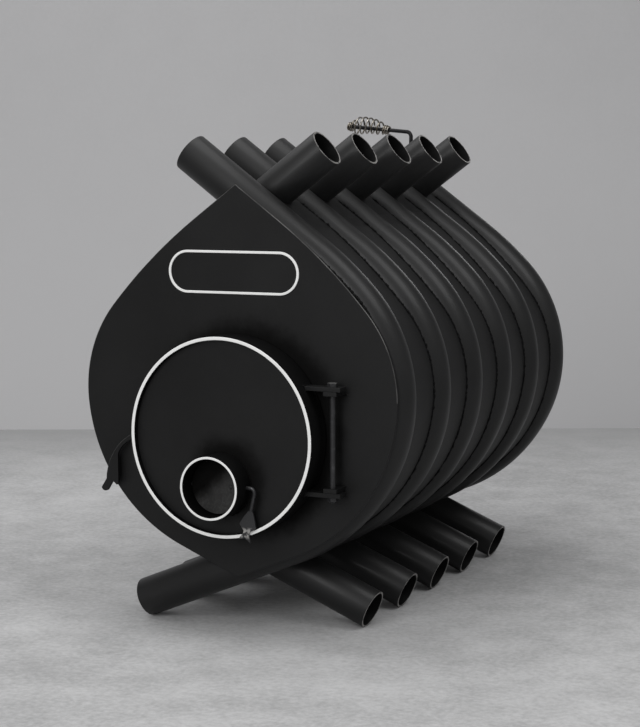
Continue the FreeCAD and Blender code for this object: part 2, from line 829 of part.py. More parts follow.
# The grip's turns, counted from the end next to the crank
grip_turns = 2 * grip_tight_turns + grip_open_turns
grip_tight_pitch = grip_wire_diameter + grip_tight_gap
grip_length = 2 * grip_tight_turns * grip_tight_pitch + grip_open_turns * grip_open_pitch
grip_hold_radius = crank_radius + grip_rod_gap + grip_wire_diameter / 2
grip_up = AXIS_Y.cross(arm_heading)
crank_tip = crank_corner + arm_heading * (grip_start + grip_length + crank_arm_tip)


def make_flue_stub():
    """Pipe with the holes for the damper rod; the chimney slides over its slightly drawn-in end."""
    step = flue_end - flue_spigot_length
    stub = ring_y(flue_radius, flue_bore, rear_plate_front, step, 0, flue_height)
    narrow = flue_radius - flue_spigot_step
    spigot = ring_y(narrow, flue_bore - flue_spigot_step, step, flue_end, 0, flue_height)
    stub = stub.fuse(spigot)
    base = Vec(-flue_od, flue_damper_y, flue_height)
    return stub.cut(Part.makeCylinder(crank_radius + damper_rod_fit, 2 * flue_od, base, AXIS_X))


def make_crank():
    """Damper rod of the flue, bent up and over into the arm that carries the grip."""
    start = Vec(flue_radius + damper_end_tail, flue_damper_y, flue_height)
    elbow = Vec(crank_x, flue_damper_y, flue_height)
    rod = swept(rounded_run([start, elbow, crank_corner, crank_tip], crank_bend), crank_radius)
    return drilled_rod(rod, flue_disc_radius, crank_radius, flue_damper_y, flue_height)


def make_flue_disc():
    """Flue damper disc, with a sector cut away so that it never shuts off the draught."""
    disc = make_damper_disc(flue_disc_radius, crank_radius, flue_damper_y, flue_height)
    front = damper_flat_y(crank_radius, flue_damper_y) - damper_disc_thickness
    middle = Vec(0, front, flue_height + crank_rod_diameter)
    left = middle + polar(90 + flue_cutout_angle / 2) * flue_od
    right = middle + polar(90 - flue_cutout_angle / 2) * flue_od
    wedge = Part.Face(Part.makePolygon([middle, left, right, middle]))
    return disc.cut(wedge.extrude(Vec(0, damper_disc_thickness, 0)))


def grip_swell(share):
    """Radius of the open turns: it widens towards the outer end and closes in at both ends."""
    widest = grip_inner_radius + (grip_outer_radius - grip_inner_radius) * share
    return grip_end_radius + (widest - grip_end_radius) * (1 - (2 * share - 1) ** grip_fullness)


def grip_point(turn):
    """Point on the middle of the grip's wire after so many turns."""
    opened = min(max(turn - grip_tight_turns, 0), grip_open_turns)
    tight = turn - opened
    share = opened / grip_open_turns
    radius = grip_swell(share)
    from_end = min(turn, grip_turns - turn)
    if from_end < 1:
        radius = grip_hold_radius + (grip_end_radius - grip_hold_radius) * from_end
    along = grip_start + tight * grip_tight_pitch + opened * grip_open_pitch
    lift = grip_arch * math.sin(math.pi * share)
    angle = 2 * math.pi * turn
    spoke = AXIS_Y * math.cos(angle) + grip_up * math.sin(angle)
    return crank_corner + arm_heading * along + grip_up * lift + spoke * radius


def grip_heading(turn):
    """Direction of the grip's wire after so many turns."""
    step = 1 / grip_samples_per_turn
    return (grip_point(turn + step) - grip_point(turn - step)).normalize()


def make_grip():
    """Coil-spring grip wound around the crank's arm, in one length of wire."""
    quarters = [k / 4 for k in range(int(4 * grip_turns) + 1)]
    edges = []
    for a, b in zip(quarters, quarters[1:]):
        edges += biarc(grip_point(a), grip_heading(a), grip_point(b), grip_heading(b))
    start = grip_point(0)
    section = Part.Wire(Part.Circle(start, grip_heading(0), grip_wire_diameter / 2).toShape())
    return Part.Wire(edges).makePipeShell([section], True, False)


def grip_least_gap():
    """Least clear space between the wire's turns, measured on points along it."""
    per_turn = grip_samples_per_turn
    points = [grip_point(k / per_turn) for k in range(int(grip_turns * per_turn) + 1)]
    least = grip_open_pitch
    for first, here in enumerate(points):
        for there in points[first + per_turn // 2:]:
            least = min(least, here.distanceToPoint(there) - grip_wire_diameter)
    return least


pieces = {}
for number, row in enumerate(right_rows, 1):
    pieces["tube_right_%d" % number] = make_tube(1, row)
for number, row in enumerate(left_rows, 1):
    pieces["tube_left_%d" % number] = make_tube(-1, row)
for number, span in enumerate(shell_spans(right_rows), 1):
    pieces["shell_right_%d" % number] = make_shell(1, *span)
for number, span in enumerate(left_shell_spans(), 1):
    pieces["shell_left_%d" % number] = make_shell(-1, *span)
pieces["front_plate"] = make_front_plate()
pieces["rear_plate"] = make_rear_plate()
pieces["badge_frame"] = make_badge_frame()
pieces["baffle_plate"] = make_baffle()
pieces["secondary_air_nozzles"] = make_nozzles()
pieces["door_collar"] = ring_y(collar_radius, collar_bore, collar_front, plate_back, 0, door_height)
pieces["flue_stub"] = make_flue_stub()
pieces["hinge_lug_upper"] = make_hinge_lug(1)
pieces["hinge_lug_lower"] = make_hinge_lug(-1)
pieces["latch_keeper"] = make_latch_keeper()
pieces["door_rim"] = ring_y(rim_radius, rim_bore, rim_front, rim_back, 0, door_height)
pieces["door_disc"] = make_door_disc()
pieces["seal_ring"] = make_seal_ring()
pieces["rope_seal"] = make_rope_seal()
pieces["heat_shield"] = make_heat_shield()
pieces["shield_studs"] = make_shield_studs()
pieces["shield_nuts"] = make_shield_nuts()
pieces["hinge_arm_upper"] = make_hinge_arm(1)
pieces["hinge_arm_lower"] = make_hinge_arm(-1)
pieces["hinge_pin"] = make_hinge_pin()
pieces["hinge_nut"] = make_hinge_nut()
pieces["latch_lug"] = make_latch_lug()
pieces["latch_bolt"] = make_latch_bolt()
pieces["latch_nut"] = make_latch_nut()
pieces["latch_lever"] = make_latch_lever()
pieces["air_pipe"] = make_air_pipe()
pieces["air_damper_rod"] = make_air_rod()
pieces["air_damper_handle"] = make_air_handle()
pieces["air_damper_disc"] = make_damper_disc(air_disc_radius, air_rod_radius, air_damper_y, air_pipe_height)
pieces["air_damper_rivets"] = make_damper_rivets(
    air_disc_radius, air_rod_radius, air_damper_y, air_pipe_height
)
pieces["flue_damper_crank"] = make_crank()
pieces["flue_damper_disc"] = make_flue_disc()
pieces["flue_damper_rivets"] = make_damper_rivets(
    flue_disc_radius, crank_radius, flue_damper_y, flue_height
)
pieces["spring_grip"] = make_grip()

os.makedirs("parts", exist_ok=True)
for name, shape in pieces.items():
    shape.exportStep("parts/%s.step" % name)
print("pieces", len(pieces), "least gap in the grip's coil %.2f mm" % grip_least_gap())
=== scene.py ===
"""Finishes a convection wood stove around its packed construction and stands it in a plain studio.

Metres. +X is the stove's right seen from the front, +Y runs to the back, +Z is up.
"""

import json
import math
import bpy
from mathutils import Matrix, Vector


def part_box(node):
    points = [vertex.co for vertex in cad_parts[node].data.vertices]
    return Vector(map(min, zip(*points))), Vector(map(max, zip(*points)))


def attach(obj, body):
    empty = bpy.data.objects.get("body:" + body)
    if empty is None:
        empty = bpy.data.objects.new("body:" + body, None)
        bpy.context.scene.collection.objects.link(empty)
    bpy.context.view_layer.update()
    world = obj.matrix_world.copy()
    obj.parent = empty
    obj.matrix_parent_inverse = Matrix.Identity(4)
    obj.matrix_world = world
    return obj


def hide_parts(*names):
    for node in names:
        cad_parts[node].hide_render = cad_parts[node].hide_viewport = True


bl_info = {
    "name": "Convection wood stove",
    "version": (1, 0, 0),
    "blender": (4, 5, 0),
    "location": "View3D > Sidebar > Stove",
    "description": "Bends the tubes, lays the welds, dresses the door and dampers and sets the studio",
    "category": "Object",
}

from functools import cache, partial
from typing import NamedTuple

import bmesh
import bpy
from bpy.props import FloatProperty, FloatVectorProperty, IntProperty, PointerProperty
from mathutils import Matrix, Vector

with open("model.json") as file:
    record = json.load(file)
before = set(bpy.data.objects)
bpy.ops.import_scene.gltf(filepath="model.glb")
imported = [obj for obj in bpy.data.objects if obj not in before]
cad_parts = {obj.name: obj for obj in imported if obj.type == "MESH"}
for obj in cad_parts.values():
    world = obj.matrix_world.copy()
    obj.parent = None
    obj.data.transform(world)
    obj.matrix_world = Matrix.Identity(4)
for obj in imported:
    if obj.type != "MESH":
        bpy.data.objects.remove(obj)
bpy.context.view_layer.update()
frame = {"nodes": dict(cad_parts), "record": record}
BODY_OF = {
    node: body for body, nodes in frame["record"]["behaviour"]["bodies"].items() for node in nodes
}


def nodes_named(start):
    """Nodes whose names start alike, in order."""
    return sorted(node for node in BODY_OF if node.startswith(start))


RIGHT_TUBES = nodes_named("tube_right")
LEFT_TUBES = nodes_named("tube_left")
STRIPS = nodes_named("shell_right") + nodes_named("shell_left")

ORIGIN = Vector((0, 0, 0))
AXIS_Y = Vector((0, 1, 0))
AXIS_Z = Vector((0, 0, 1))

# Radius at which a turned solid closes round its axis.
HUB = 0.00002
# Distance under which points are one: in a new mesh, and in a copy of a node's loose triangles.
SAME_POINT = 1e-7
SAME_CORNER = 2e-6
# Angle in degrees under which neighbouring faces of a node are one flat face.
FLAT_ANGLE = 0.3
# Angles in degrees past which an edge of a sheet, a turned piece, a fastener or a cut end stays sharp
# or is rounded.
SHEET_CREASE = 35
TURNED_CREASE = 40
FASTENER_CREASE = 32
CUT_CREASE = 50
# Short faces that make up a rounded edge, and short runs that make up a round seam.
ROUNDING_STEPS = 2
RING_RUNS = 96
# Cosines between a face and a heading that tell which faces get another finish.
FLAT_ON = 0.95
FACING = 0.9
UPWARD = 0.8
TURNED_TO = 0.25
PAST_EDGE = 0.2
EDGE_ON = 0.15


def length(name, description, default):
    """A size in metres."""
    return FloatProperty(name=name, description=description, default=default, unit="LENGTH", precision=5)


def angle(name, description, degrees):
    """An angle, given in degrees and kept in radians."""
    return FloatProperty(
        name=name, description=description, default=math.radians(degrees), subtype="ANGLE"
    )


def share(name, description, default):
    """A plain number between nothing and one."""
    return FloatProperty(
        name=name, description=description, default=default, min=0, max=1, subtype="FACTOR"
    )


def colour(name, description, default):
    """A linear colour."""
    return FloatVectorProperty(
        name=name, description=description, default=default, size=3, subtype="COLOR"
    )


def count(name, description, default):
    """A whole number."""
    return IntProperty(name=name, description=description, default=default, min=1)


def spot(name, description, default):
    """A point in the stove's frame."""
    return FloatVectorProperty(
        name=name, description=description, default=default, subtype="TRANSLATION", precision=5
    )


def wattage(name, description, default):
    """A lamp's power in watts."""
    return FloatProperty(name=name, description=description, default=default, unit="POWER")


def optics(name, description, default):
    """A size inside the camera, in millimetres."""
    return FloatProperty(name=name, description=description, default=default, unit="CAMERA")


class StoveTubeSizes(bpy.types.PropertyGroup):
    """Bent convection tubes"""

    diameter: length("Outside diameter", "Outside diameter of a convection tube", 0.057)
    wall: length("Wall", "Wall thickness of a convection tube", 0.003)
    half_width: length("Half width", "Half of the width over the tubes", 0.2588)
    shoulder_height: length("Shoulder height", "Height of the shoulder bend's centre", 0.3403)
    shoulder_radius: length("Shoulder radius", "Radius of the shoulder bend", 0.2008)
    lower_radius: length("Lower radius", "Radius of the bend into the lower leg", 0.2507)
    upper_radius: length("Upper radius", "Radius of the bend into the upper leg", 0.52)
    shoulder_low: angle("Shoulder start", "Where the lower bend turns into the shoulder", -24.4)
    shoulder_top: angle("Shoulder end", "Where the shoulder turns into the upper bend", 43.5)
    lower_slope: angle("Lower slope", "Slope of the straight lower leg", 22.6)
    upper_slope: angle("Upper slope", "Slope of the straight upper leg", 36.3)
    right_reach: length("Right reach", "How far a right tube's upper end passes the middle", 0.088)
    left_reach: length("Left reach", "How far a left tube's upper end passes the middle", 0.096)
    mouth_round: length("Mouth rounding", "Rounding of the cut ends", 0.0004)
    sides: count("Sides", "Flat sides that make up a tube's roundness", 64)
    step: length("Step", "Length of the short runs along a bend", 0.006)


class StoveCasingSizes(bpy.types.PropertyGroup):
    """Bend of the wall strips, which is tighter at the shoulder than the tubes"""

    shoulder_radius: length("Shoulder radius", "Radius of the shoulder bend", 0.172)
    lower_radius: length("Lower radius", "Radius of the bend into the lower leg", 0.2315)
    upper_radius: length("Upper radius", "Radius of the bend into the upper leg", 0.78)
    shoulder_low: angle("Shoulder start", "Where the lower bend turns into the shoulder", -5.7)
    shoulder_top: angle("Shoulder end", "Where the shoulder turns into the upper bend", 40.4)
    set_out: length("Set-out", "Distance of the strips' outer face from that bend", 0.014)


class StoveSheetSizes(bpy.types.PropertyGroup):
    """Roundings of the sheet metal's edges"""

    front_round: length("Front plate", "Rounding of the front plate's edges", 0.001)
    lever_round: length("Latch lever", "Rounding of the latch lever's edges", 0.0015)
    plate_round: length("Plates", "Rounding of the rear plate, lugs, arms and finger plate", 0.0006)
    thin_round: length("Thin plates", "Rounding of the outline and the perforated plate", 0.0005)
    disc_round: length("Discs", "Rounding of the discs and the heat shield", 0.0004)
    nozzle_round: length("Nozzles", "Rounding of the air nozzles", 0.0003)


class StoveWeldSizes(bpy.types.PropertyGroup):
    """Weld beads between tubes, strips, plates and fittings"""

    width: length("Bead width", "Width of a weld bead", 0.0038)
    ripple: length("Ripple", "Length of one ripple of the bead", 0.0064)
    spacing: length("Spacing", "Distance between ripples", 0.0032)
    uneven: share("Unevenness", "How much the ripples differ in size", 0.28)
    wander: length("Wander", "How far a ripple strays from the seam", 0.0006)
    seed: count("Seed", "Start of the random draws", 7)
    plate_seam: length("Plate seam", "Distance of the plates' beads from the tubes' centre line", 0.0095)
    ridge_gap: length("Ridge gap", "Distance from the middle at which a seam stops", 0.036)
    fine_width: length("Fine bead", "Width of the beads on the fittings", 0.0032)


class StoveDoorSizes(bpy.types.PropertyGroup):
    """Turned rings of the door and the flue"""

    rim_wall: length("Rim wall", "Wall of the deep ring round the door", 0.0046)
    collar_wall: length("Collar wall", "Wall of the collar that the door shuts on", 0.004)
    seal_wall: length("Seal ring wall", "Wall of the ring that holds the rope", 0.004)
    pipe_wall: length("Air pipe wall", "Wall of the air pipe", 0.0032)
    flue_wall: length("Flue wall", "Wall of the flue stub", 0.0025)
    spigot_length: length("Spigot length", "Length of the flue's drawn-in end", 0.05)
    spigot_step: length("Spigot step", "How far the flue's end is drawn in", 0.001)
    edge_round: length("Edge rounding", "Rounding of turned edges", 0.0005)
    edge_paint: length("Edge paint", "Depth of the white paint on the front edges", 0.000525)
    segments: count("Segments", "Flat sides that make up a turned ring", 144)


class StoveFastenerSizes(bpy.types.PropertyGroup):
    """Bolts, nuts, studs and rivets"""

    hinge_flats: length("Hinge flats", "Width across flats of the hinge bolt and nut", 0.013)
    hinge_head: length("Hinge head", "Height of the hinge bolt's head", 0.0055)
    hinge_pin: length("Hinge pin", "Diameter of the hinge bolt", 0.008)
    hinge_thread: length("Hinge thread", "Thread of the hinge bolt that shows past its nut", 0.004)
    hinge_runout: length("Hinge run-out", "Taper between the hinge bolt's thread and shank", 0.0006)
    latch_flats: length("Latch flats", "Width across flats of the latch bolt and nut", 0.01)
    latch_head: length("Latch head", "Height of the latch bolt's head", 0.004)
    latch_pin: length("Latch pin", "Diameter of the latch bolt", 0.006)
    latch_thread: length("Latch thread", "Distance of the latch bolt's thread from its tip", 0.0075)
    latch_runout: length("Latch run-out", "Taper between the latch bolt's shank and thread", 0.0005)
    stud_flats: length("Stud nut flats", "Width across flats of the heat shield's nuts", 0.013)
    stud: length("Stud", "Diameter of the heat shield's studs", 0.008)
    stud_shoulder: length("Stud shoulder", "Diameter of the studs' shoulders", 0.012)
    stud_spacing: length("Stud spacing", "Length of the studs' shoulders", 0.008)
    stud_runout: length("Stud run-out", "Taper between a stud's shoulder and thread", 0.001)
    thread_pitch: length("Thread pitch", "Pitch of the visible threads", 0.00125)
    thread_depth: length("Thread depth", "Depth of the visible threads", 0.0004)
    thread_end: length("Thread end", "Bevelled end of a thread", 0.0004)
    rivet: length("Rivet", "Diameter of a rivet's shank", 0.003)
    rivet_head: length("Rivet head", "Diameter of a rivet's head", 0.006)
    rivet_height: length("Rivet head height", "Height of a rivet's head", 0.0012)
    pin_sides: count("Hinge pin sides", "Flat sides that make up the hinge bolt", 36)
    bolt_sides: count("Bolt sides", "Flat sides that make up the latch bolt and the studs", 32)
    rivet_sides: count("Rivet sides", "Flat sides that make up a rivet", 20)


class StoveGripSizes(bpy.types.PropertyGroup):
    """Coil-spring grip on the flue damper's crank"""

    wire: length("Wire", "Diameter of the spring's wire", 0.0032)
    wire_round: share("Wire end rounding", "Rounding of the wire's ends, in diameters", 0.12)
    hold_radius: length("Hold radius", "Radius of the wire where it grips the rod", 0.0054)
    end_radius: length("End radius", "Radius of the close turns", 0.0072)
    inner_radius: length("Inner radius", "Radius of the open turns near the crank", 0.011)
    outer_radius: length("Outer radius", "Radius of the open turns near the tip", 0.0165)
    fullness: count("Fullness", "How squarely the open turns swell out", 6)
    arch: length("Arch", "How far the coil bows upwards", 0.005)
    tight_turns: FloatProperty(name="Close turns", description="Close turns at each end", default=2.5)
    tight_pitch: length("Close pitch", "Pitch of the close turns", 0.0038)
    open_turns: count("Open turns", "Open turns in the middle", 6)
    open_pitch: length("Open pitch", "Pitch of the open turns", 0.0105)
    start: length("Start", "Distance of the coil from the crank's corner", 0.0425)
    corner: spot("Corner", "Where the crank's rise meets its arm", (-0.07, 0.41835, 0.720367))
    tilt: angle("Tilt", "How far the arm rises towards its tip", 5.3)
    per_turn: count("Steps per turn", "Short runs that make up a turn", 28)
    sides: count("Sides", "Flat sides that make up the wire", 14)


class StoveRopeSizes(bpy.types.PropertyGroup):
    """Braided rope that seals the door"""

    strands: count("Strands", "Strands laid round the core", 7)
    strand: length("Strand", "Diameter of a strand", 0.0047)
    twists: count("Twists", "Turns of a strand on its way round the door", 23)
    per_twist: count("Steps per twist", "Short runs that make up a twist", 12)
    sides: count("Sides", "Flat sides that make up a strand", 8)


class StoveColours(bpy.types.PropertyGroup):
    """Colours of the finishes and the studio"""

    enamel: colour("Enamel", "Heat-resistant black enamel", (0.006, 0.006, 0.0062))
    # Deeper black: on the door rim, the air pipe and in the tube bores it is painted shade; on the welds
    # it is their own darker black.
    deep: colour("Deep enamel", "Deeper black of rings, welds and bores", (0.003, 0.003, 0.0031))
    # Grey of the painted highlight on the front plate's upper edge and the latch lever's upper-left edge.
    rubbed: colour("Rubbed edge", "Grey of the edges that wear has rubbed", (0.085, 0.084, 0.082))
    edge: colour("Edge", "White enamel on the edges and the outline", (0.95, 0.95, 0.94))
    bare: colour("Bare steel", "Steel that shows where the enamel is worn", (0.3, 0.29, 0.28))
    scale: colour("Scaled steel", "Steel that the fire has scaled", (0.09, 0.08, 0.074))
    sooted: colour("Sooted steel", "Steel of the air damper, dark with soot", (0.06, 0.0593, 0.0585))
    # Nearly black colour of painted shade: in the air pipe's bore, on its bead and round the door.
    soot: colour("Soot", "Soot in the air pipe and round the door", (0.0025, 0.0024, 0.0023))
    zinc: colour("Zinc", "Dulled zinc of the studs, nuts and rivets", (0.44, 0.44, 0.43))
    rod: colour("Rod", "Blackened steel of the rods and bolts", (0.027, 0.027, 0.0285))
    wire: colour("Wire", "Nickelled wire of the grip", (0.36, 0.34, 0.31))
    rope: colour("Rope", "Glass-fibre rope of the seal", (0.5, 0.48, 0.43))
    floor: colour("Floor", "Studio floor", (0.455, 0.455, 0.458))
    wall: colour("Wall", "Studio wall", (0.44, 0.438, 0.444))


class StoveStageSizes(bpy.types.PropertyGroup):
    """Camera and light"""

    camera: spot("Camera", "Where the camera stands", (1.206, -2.6682, 0.6697))
    yaw: angle("Yaw", "How far the camera is turned to the left", 25.295)
    pitch: angle("Pitch", "How far the camera looks down", 6.311)
    roll: angle("Roll", "How far the camera leans", -0.124)
    lens: optics("Lens", "Focal length", 90.84)
    sensor: optics("Sensor", "Width of the camera's sensor", 36.0)
    wall_distance: length("Wall distance", "Distance from the camera to the wall", 4.56)
    reach: length("Reach", "Half of the floor's width", 9.0)
    sky: share("Sky", "Strength of the even light from all round", 0.36)
    top_power: wattage("Top light", "Power of the light above", 30.0)
    tube_power: wattage("Tube light", "Power of the light over the tubes", 22.0)
    key_power: wattage("Key light", "Power of the light in front", 48.0)
    rim_power: wattage("Rim light", "Power of the light behind", 7.5)


GROUPS = {
    "tubes": StoveTubeSizes,
    "casing": StoveCasingSizes,
    "sheets": StoveSheetSizes,
    "welds": StoveWeldSizes,
    "door": StoveDoorSizes,
    "fasteners": StoveFastenerSizes,
    "grip": StoveGripSizes,
    "rope": StoveRopeSizes,
    "colours": StoveColours,
    "stage": StoveStageSizes,
}


def sizes(group):
    """The property group of that name on the scene."""
    return getattr(bpy.context.scene, "stove_" + group)


def pick(sockets, key):
    """A node's socket by its place, its identifier or its name."""
    if isinstance(key, int):
        return sockets[key]
    for socket in sockets:
        if socket.identifier == key:
            return socket
    return sockets[key]


class Signal:
    """One output of a node. Arithmetic on it adds Math nodes to the same tree."""

    def __init__(self, sheet, socket):
        self.sheet = sheet
        self.socket = socket

    def also(self, name):
        """Another output of the same node."""
        return Signal(self.sheet, pick(self.socket.node.outputs, name))

    def math(self, operation, first, second):
        """Result of a Math node."""
        return self.sheet.add("ShaderNodeMath", {"operation": operation}, {0: first, 1: second})

    def swing(self, amount):
        """Its change about one half, times an amount."""
        return (self - 0.5) * amount

    def __add__(self, other):
        return self.math("ADD", self, other)

    def __radd__(self, other):
        return self.math("ADD", other, self)

    def __sub__(self, other):
        return self.math("SUBTRACT", self, other)

    def __rsub__(self, other):
        return self.math("SUBTRACT", other, self)

    def __mul__(self, other):
        return self.math("MULTIPLY", self, other)

    def __rmul__(self, other):
        return self.math("MULTIPLY", other, self)


class Sheet:
    """A node tree that is written in Python."""

    def __init__(self, group):
        self.tree = group

    def add(self, kind, options=None, values=None, output=0):
        """Adds a node, sets its options, then its sockets, and returns one of its outputs."""
        node = self.tree.nodes.new(kind)
        for key, value in (options or {}).items():
            setattr(node, key, value)
        for key, value in (values or {}).items():
            socket = pick(node.inputs, key)
            if isinstance(value, Signal):
                self.tree.links.new(value.socket, socket)
            else:
                socket.default_value = value
        return Signal(self, pick(node.outputs, output)) if len(node.outputs) else None


class Finish(Sheet):
    """A surface finish."""

    def __init__(self, name):
        self.material = bpy.data.materials.new(name)
        self.material.use_nodes = True
        super().__init__(self.material.node_tree)
        self.tree.nodes.clear()
        self.place = self.add("ShaderNodeTexCoord", output="Object")

    def noise(self, scale, detail=3.0, roughness=0.55, stretch=(1, 1, 1)):
        """Cloudy noise; scale is in patches to the metre, stretch squeezes them along an axis."""
        place = self.add("ShaderNodeMapping", None, {"Vector": self.place, "Scale": stretch})
        values = {"Vector": place, "Scale": scale, "Detail": detail, "Roughness": roughness}
        return self.add("ShaderNodeTexNoise", None, values, "Fac")

    def along(self, heading):
        """How far a point lies along a heading, from the origin."""
        values = {0: self.place, 1: heading}
        return self.add("ShaderNodeVectorMath", {"operation": "DOT_PRODUCT"}, values, "Value")

    def between(self, value, low, high):
        """0 below low, 1 above high and smooth between."""
        values = {"Value": value, "From Min": low, "From Max": high}
        return self.add("ShaderNodeMapRange", {"interpolation_type": "SMOOTHSTEP"}, values)

    def mixed(self, mask, first, second):
        """First colour where the mask is 0, second where it is 1."""
        values = {"Factor_Float": mask, "A_Color": first, "B_Color": second}
        return self.add("ShaderNodeMix", {"data_type": "RGBA"}, values, "Result_Color")

    def bumped(self, height, distance):
        """Normal of a surface with that height, in metres for a height of 1."""
        return self.add("ShaderNodeBump", None, {"Height": height, "Distance": distance})

    def skin(self, **values):
        """A shader; the keywords are its socket names with _ for a space."""
        named = {key.replace("_", " "): value for key, value in values.items()}
        return self.add("ShaderNodeBsdfPrincipled", None, named)

    def blend(self, mask, first, second):
        """First shader where the mask is 0, second where it is 1."""
        return self.add("ShaderNodeMixShader", None, {0: mask, 1: first, 2: second})

    def end(self, shader):
        """Ends the finish in a shader."""
        self.add("ShaderNodeOutputMaterial", None, {"Surface": shader})
        return self.material

    def surface(self, **values):
        """Ends the finish in one shader with those sockets."""
        return self.end(self.skin(**values))


def tinted(tone, factors):
    """A colour with each part made stronger or weaker, with alpha."""
    return tuple(part * factor for part, factor in zip(tone, factors)) + (1.0,)


def shade(tone, factor):
    """A colour made lighter or darker, with alpha."""
    return tinted(tone, (factor, factor, factor))


class Enamel(NamedTuple):
    """How an enamel lies: dullness, depth of its peel, gloss and weight of its smooth skin."""

    dullness: float
    peel: float
    gloss: float
    coat: float = 0.0


PLATE_ENAMEL = Enamel(dullness=0.46, peel=0.0001, gloss=0.27)
STRIP_ENAMEL = Enamel(dullness=0.58, peel=0.0001, gloss=0.33)
TUBE_ENAMEL = Enamel(dullness=0.48, peel=0.00005, gloss=0.35, coat=0.08)
# The deeper, duller ring enamel is painted shade on the door rim, the air pipe and the tube bores.
RING_ENAMEL = Enamel(dullness=0.6, peel=0.0001, gloss=0.1)
WELD_ENAMEL = Enamel(dullness=0.6, peel=0.0004, gloss=0.1)


def enamel_skin(paint, tone, enamel):
    """Sprayed enamel: cloudy sheen, a fine peel and, where it is baked on, a thin smooth skin."""
    cloud = paint.noise(6.0, detail=5.0, roughness=0.62)
    speck = paint.noise(260.0)
    grain = paint.noise(1100.0, detail=2.0)
    lightness = paint.between(cloud * 0.7 + speck * 0.3, 0.3, 0.7)
    return paint.skin(
        Base_Color=paint.mixed(lightness, shade(tone, 0.72), shade(tone, 1.35)),
        Roughness=enamel.dullness + cloud.swing(0.2) + speck.swing(0.08),
        Specular_IOR_Level=enamel.gloss,
        Coat_Weight=enamel.coat,
        Coat_Roughness=0.18,
        Normal=paint.bumped(grain * 0.6 + speck * 0.4, enamel.peel),
    )


def painted_shade_skin(paint):
    """Painted shade: dull, nearly black paint."""
    tone = sizes("colours").soot
    cloud = paint.noise(70.0, detail=5.0, roughness=0.65)
    return paint.skin(
        Base_Color=paint.mixed(cloud, shade(tone, 0.6), shade(tone, 1.5)),
        Roughness=0.9 + cloud.swing(0.1),
        Specular_IOR_Level=0.08,
        Normal=paint.bumped(cloud, 0.0003),
    )


def black_enamel(name, black, enamel):
    """Enamel in one of the stove's blacks, by its name among the colours."""
    paint = Finish(name)
    return paint.end(enamel_skin(paint, getattr(sizes("colours"), black), enamel))


def soot(name):
    """Painted shade in the air pipe's bore and on its bead, nearly black."""
    paint = Finish(name)
    return paint.end(painted_shade_skin(paint))


def shadow_painted_enamel(name, node, spread, shadow_shift):
    """Plate enamel with painted shadow round a round fitting, widest on the side the shadow is shifted to.
    """
    paint = Finish(name)
    shadow_depth = 0.85
    centre, radius = disc_of(node)
    values = {0: paint.place, 1: (1, 0, 1), 2: (-centre.x - shadow_shift[0], 0, -centre.z - shadow_shift[1])}
    offset = paint.add("ShaderNodeVectorMath", {"operation": "MULTIPLY_ADD"}, values)
    apart = paint.add("ShaderNodeVectorMath", {"operation": "LENGTH"}, {0: offset}, "Value")
    # Painted shadow: a dark ring round the fitting, shifted to the side where the shadow falls.
    ragged = apart + paint.noise(38.0, detail=4.0, roughness=0.6).swing(spread)
    out_of_shadow = paint.between(ragged, radius - math.hypot(*shadow_shift) / 2, radius + spread)
    enamel = enamel_skin(paint, sizes("colours").enamel, PLATE_ENAMEL)
    return paint.end(paint.blend(shadow_depth - out_of_shadow * shadow_depth, enamel, painted_shade_skin(paint)))


def rubbed_edge(name):
    """Painted highlight on an edge: grey steel in uneven patches."""
    paint = Finish(name)
    tone = sizes("colours").rubbed
    wear = paint.between(paint.noise(16.0, detail=6.0, roughness=0.7), 0.38, 0.6)
    return paint.surface(
        Base_Color=paint.mixed(wear, shade(tone, 0.25), shade(tone, 1.2)),
        Metallic=wear * 0.4,
        Roughness=0.5 - wear * 0.12,
        Normal=paint.bumped(wear, 0.0001),
    )


def white_enamel(name):
    """White edge paint with a faint film of dust."""
    paint = Finish(name)
    tone = sizes("colours").edge
    cloud = paint.noise(45.0, detail=4.0)
    grain = paint.noise(900.0, detail=2.0)
    return paint.surface(
        Base_Color=paint.mixed(paint.between(cloud, 0.35, 0.8), shade(tone, 1.0), shade(tone, 0.93)),
        Roughness=0.42 + cloud.swing(0.12),
        Normal=paint.bumped(grain, 0.00006),
    )


def worn_mouth(name):
    """Saw-cut tube end: thin enamel worn through to steel."""
    paint = Finish(name)
    colours = sizes("colours")
    wear = paint.between(paint.noise(75.0, detail=5.0, roughness=0.7), 0.36, 0.56)
    marks = paint.noise(420.0, roughness=0.6)
    return paint.surface(
        Base_Color=paint.mixed(wear, shade(colours.enamel, 4.0), shade(colours.bare, 1.0)),
        Metallic=wear * 0.55,
        Roughness=0.6 - wear * 0.14 + marks.swing(0.2),
        Normal=paint.bumped(marks, 0.0002),
    )


def scaled_skin(paint, tone, rust):
    """Bare steel that the fire has scaled and, where rust is 1, browned."""
    patch = paint.between(paint.noise(26.0, detail=6.0, roughness=0.68), 0.38, 0.64)
    flake = paint.noise(310.0, detail=4.0, roughness=0.65)
    brown = tinted(tone, (1 + 0.5 * rust, 1 + 0.15 * rust, 1 - 0.05 * rust))
    crust = paint.mixed(patch, shade(tone, 0.55), brown)
    return paint.skin(
        Base_Color=paint.mixed(paint.between(flake, 0.3, 0.75), shade(tone, 0.4), crust),
        Metallic=0.55 - patch * 0.4,
        Roughness=0.58 + patch * 0.22 + flake.swing(0.15),
        Normal=paint.bumped(flake * 0.7 + patch * 0.3, 0.0003),
    )


def scaled_steel(name):
    """Scaled steel of the parts in the fire."""
    paint = Finish(name)
    return paint.end(scaled_skin(paint, sizes("colours").scale, rust=1))


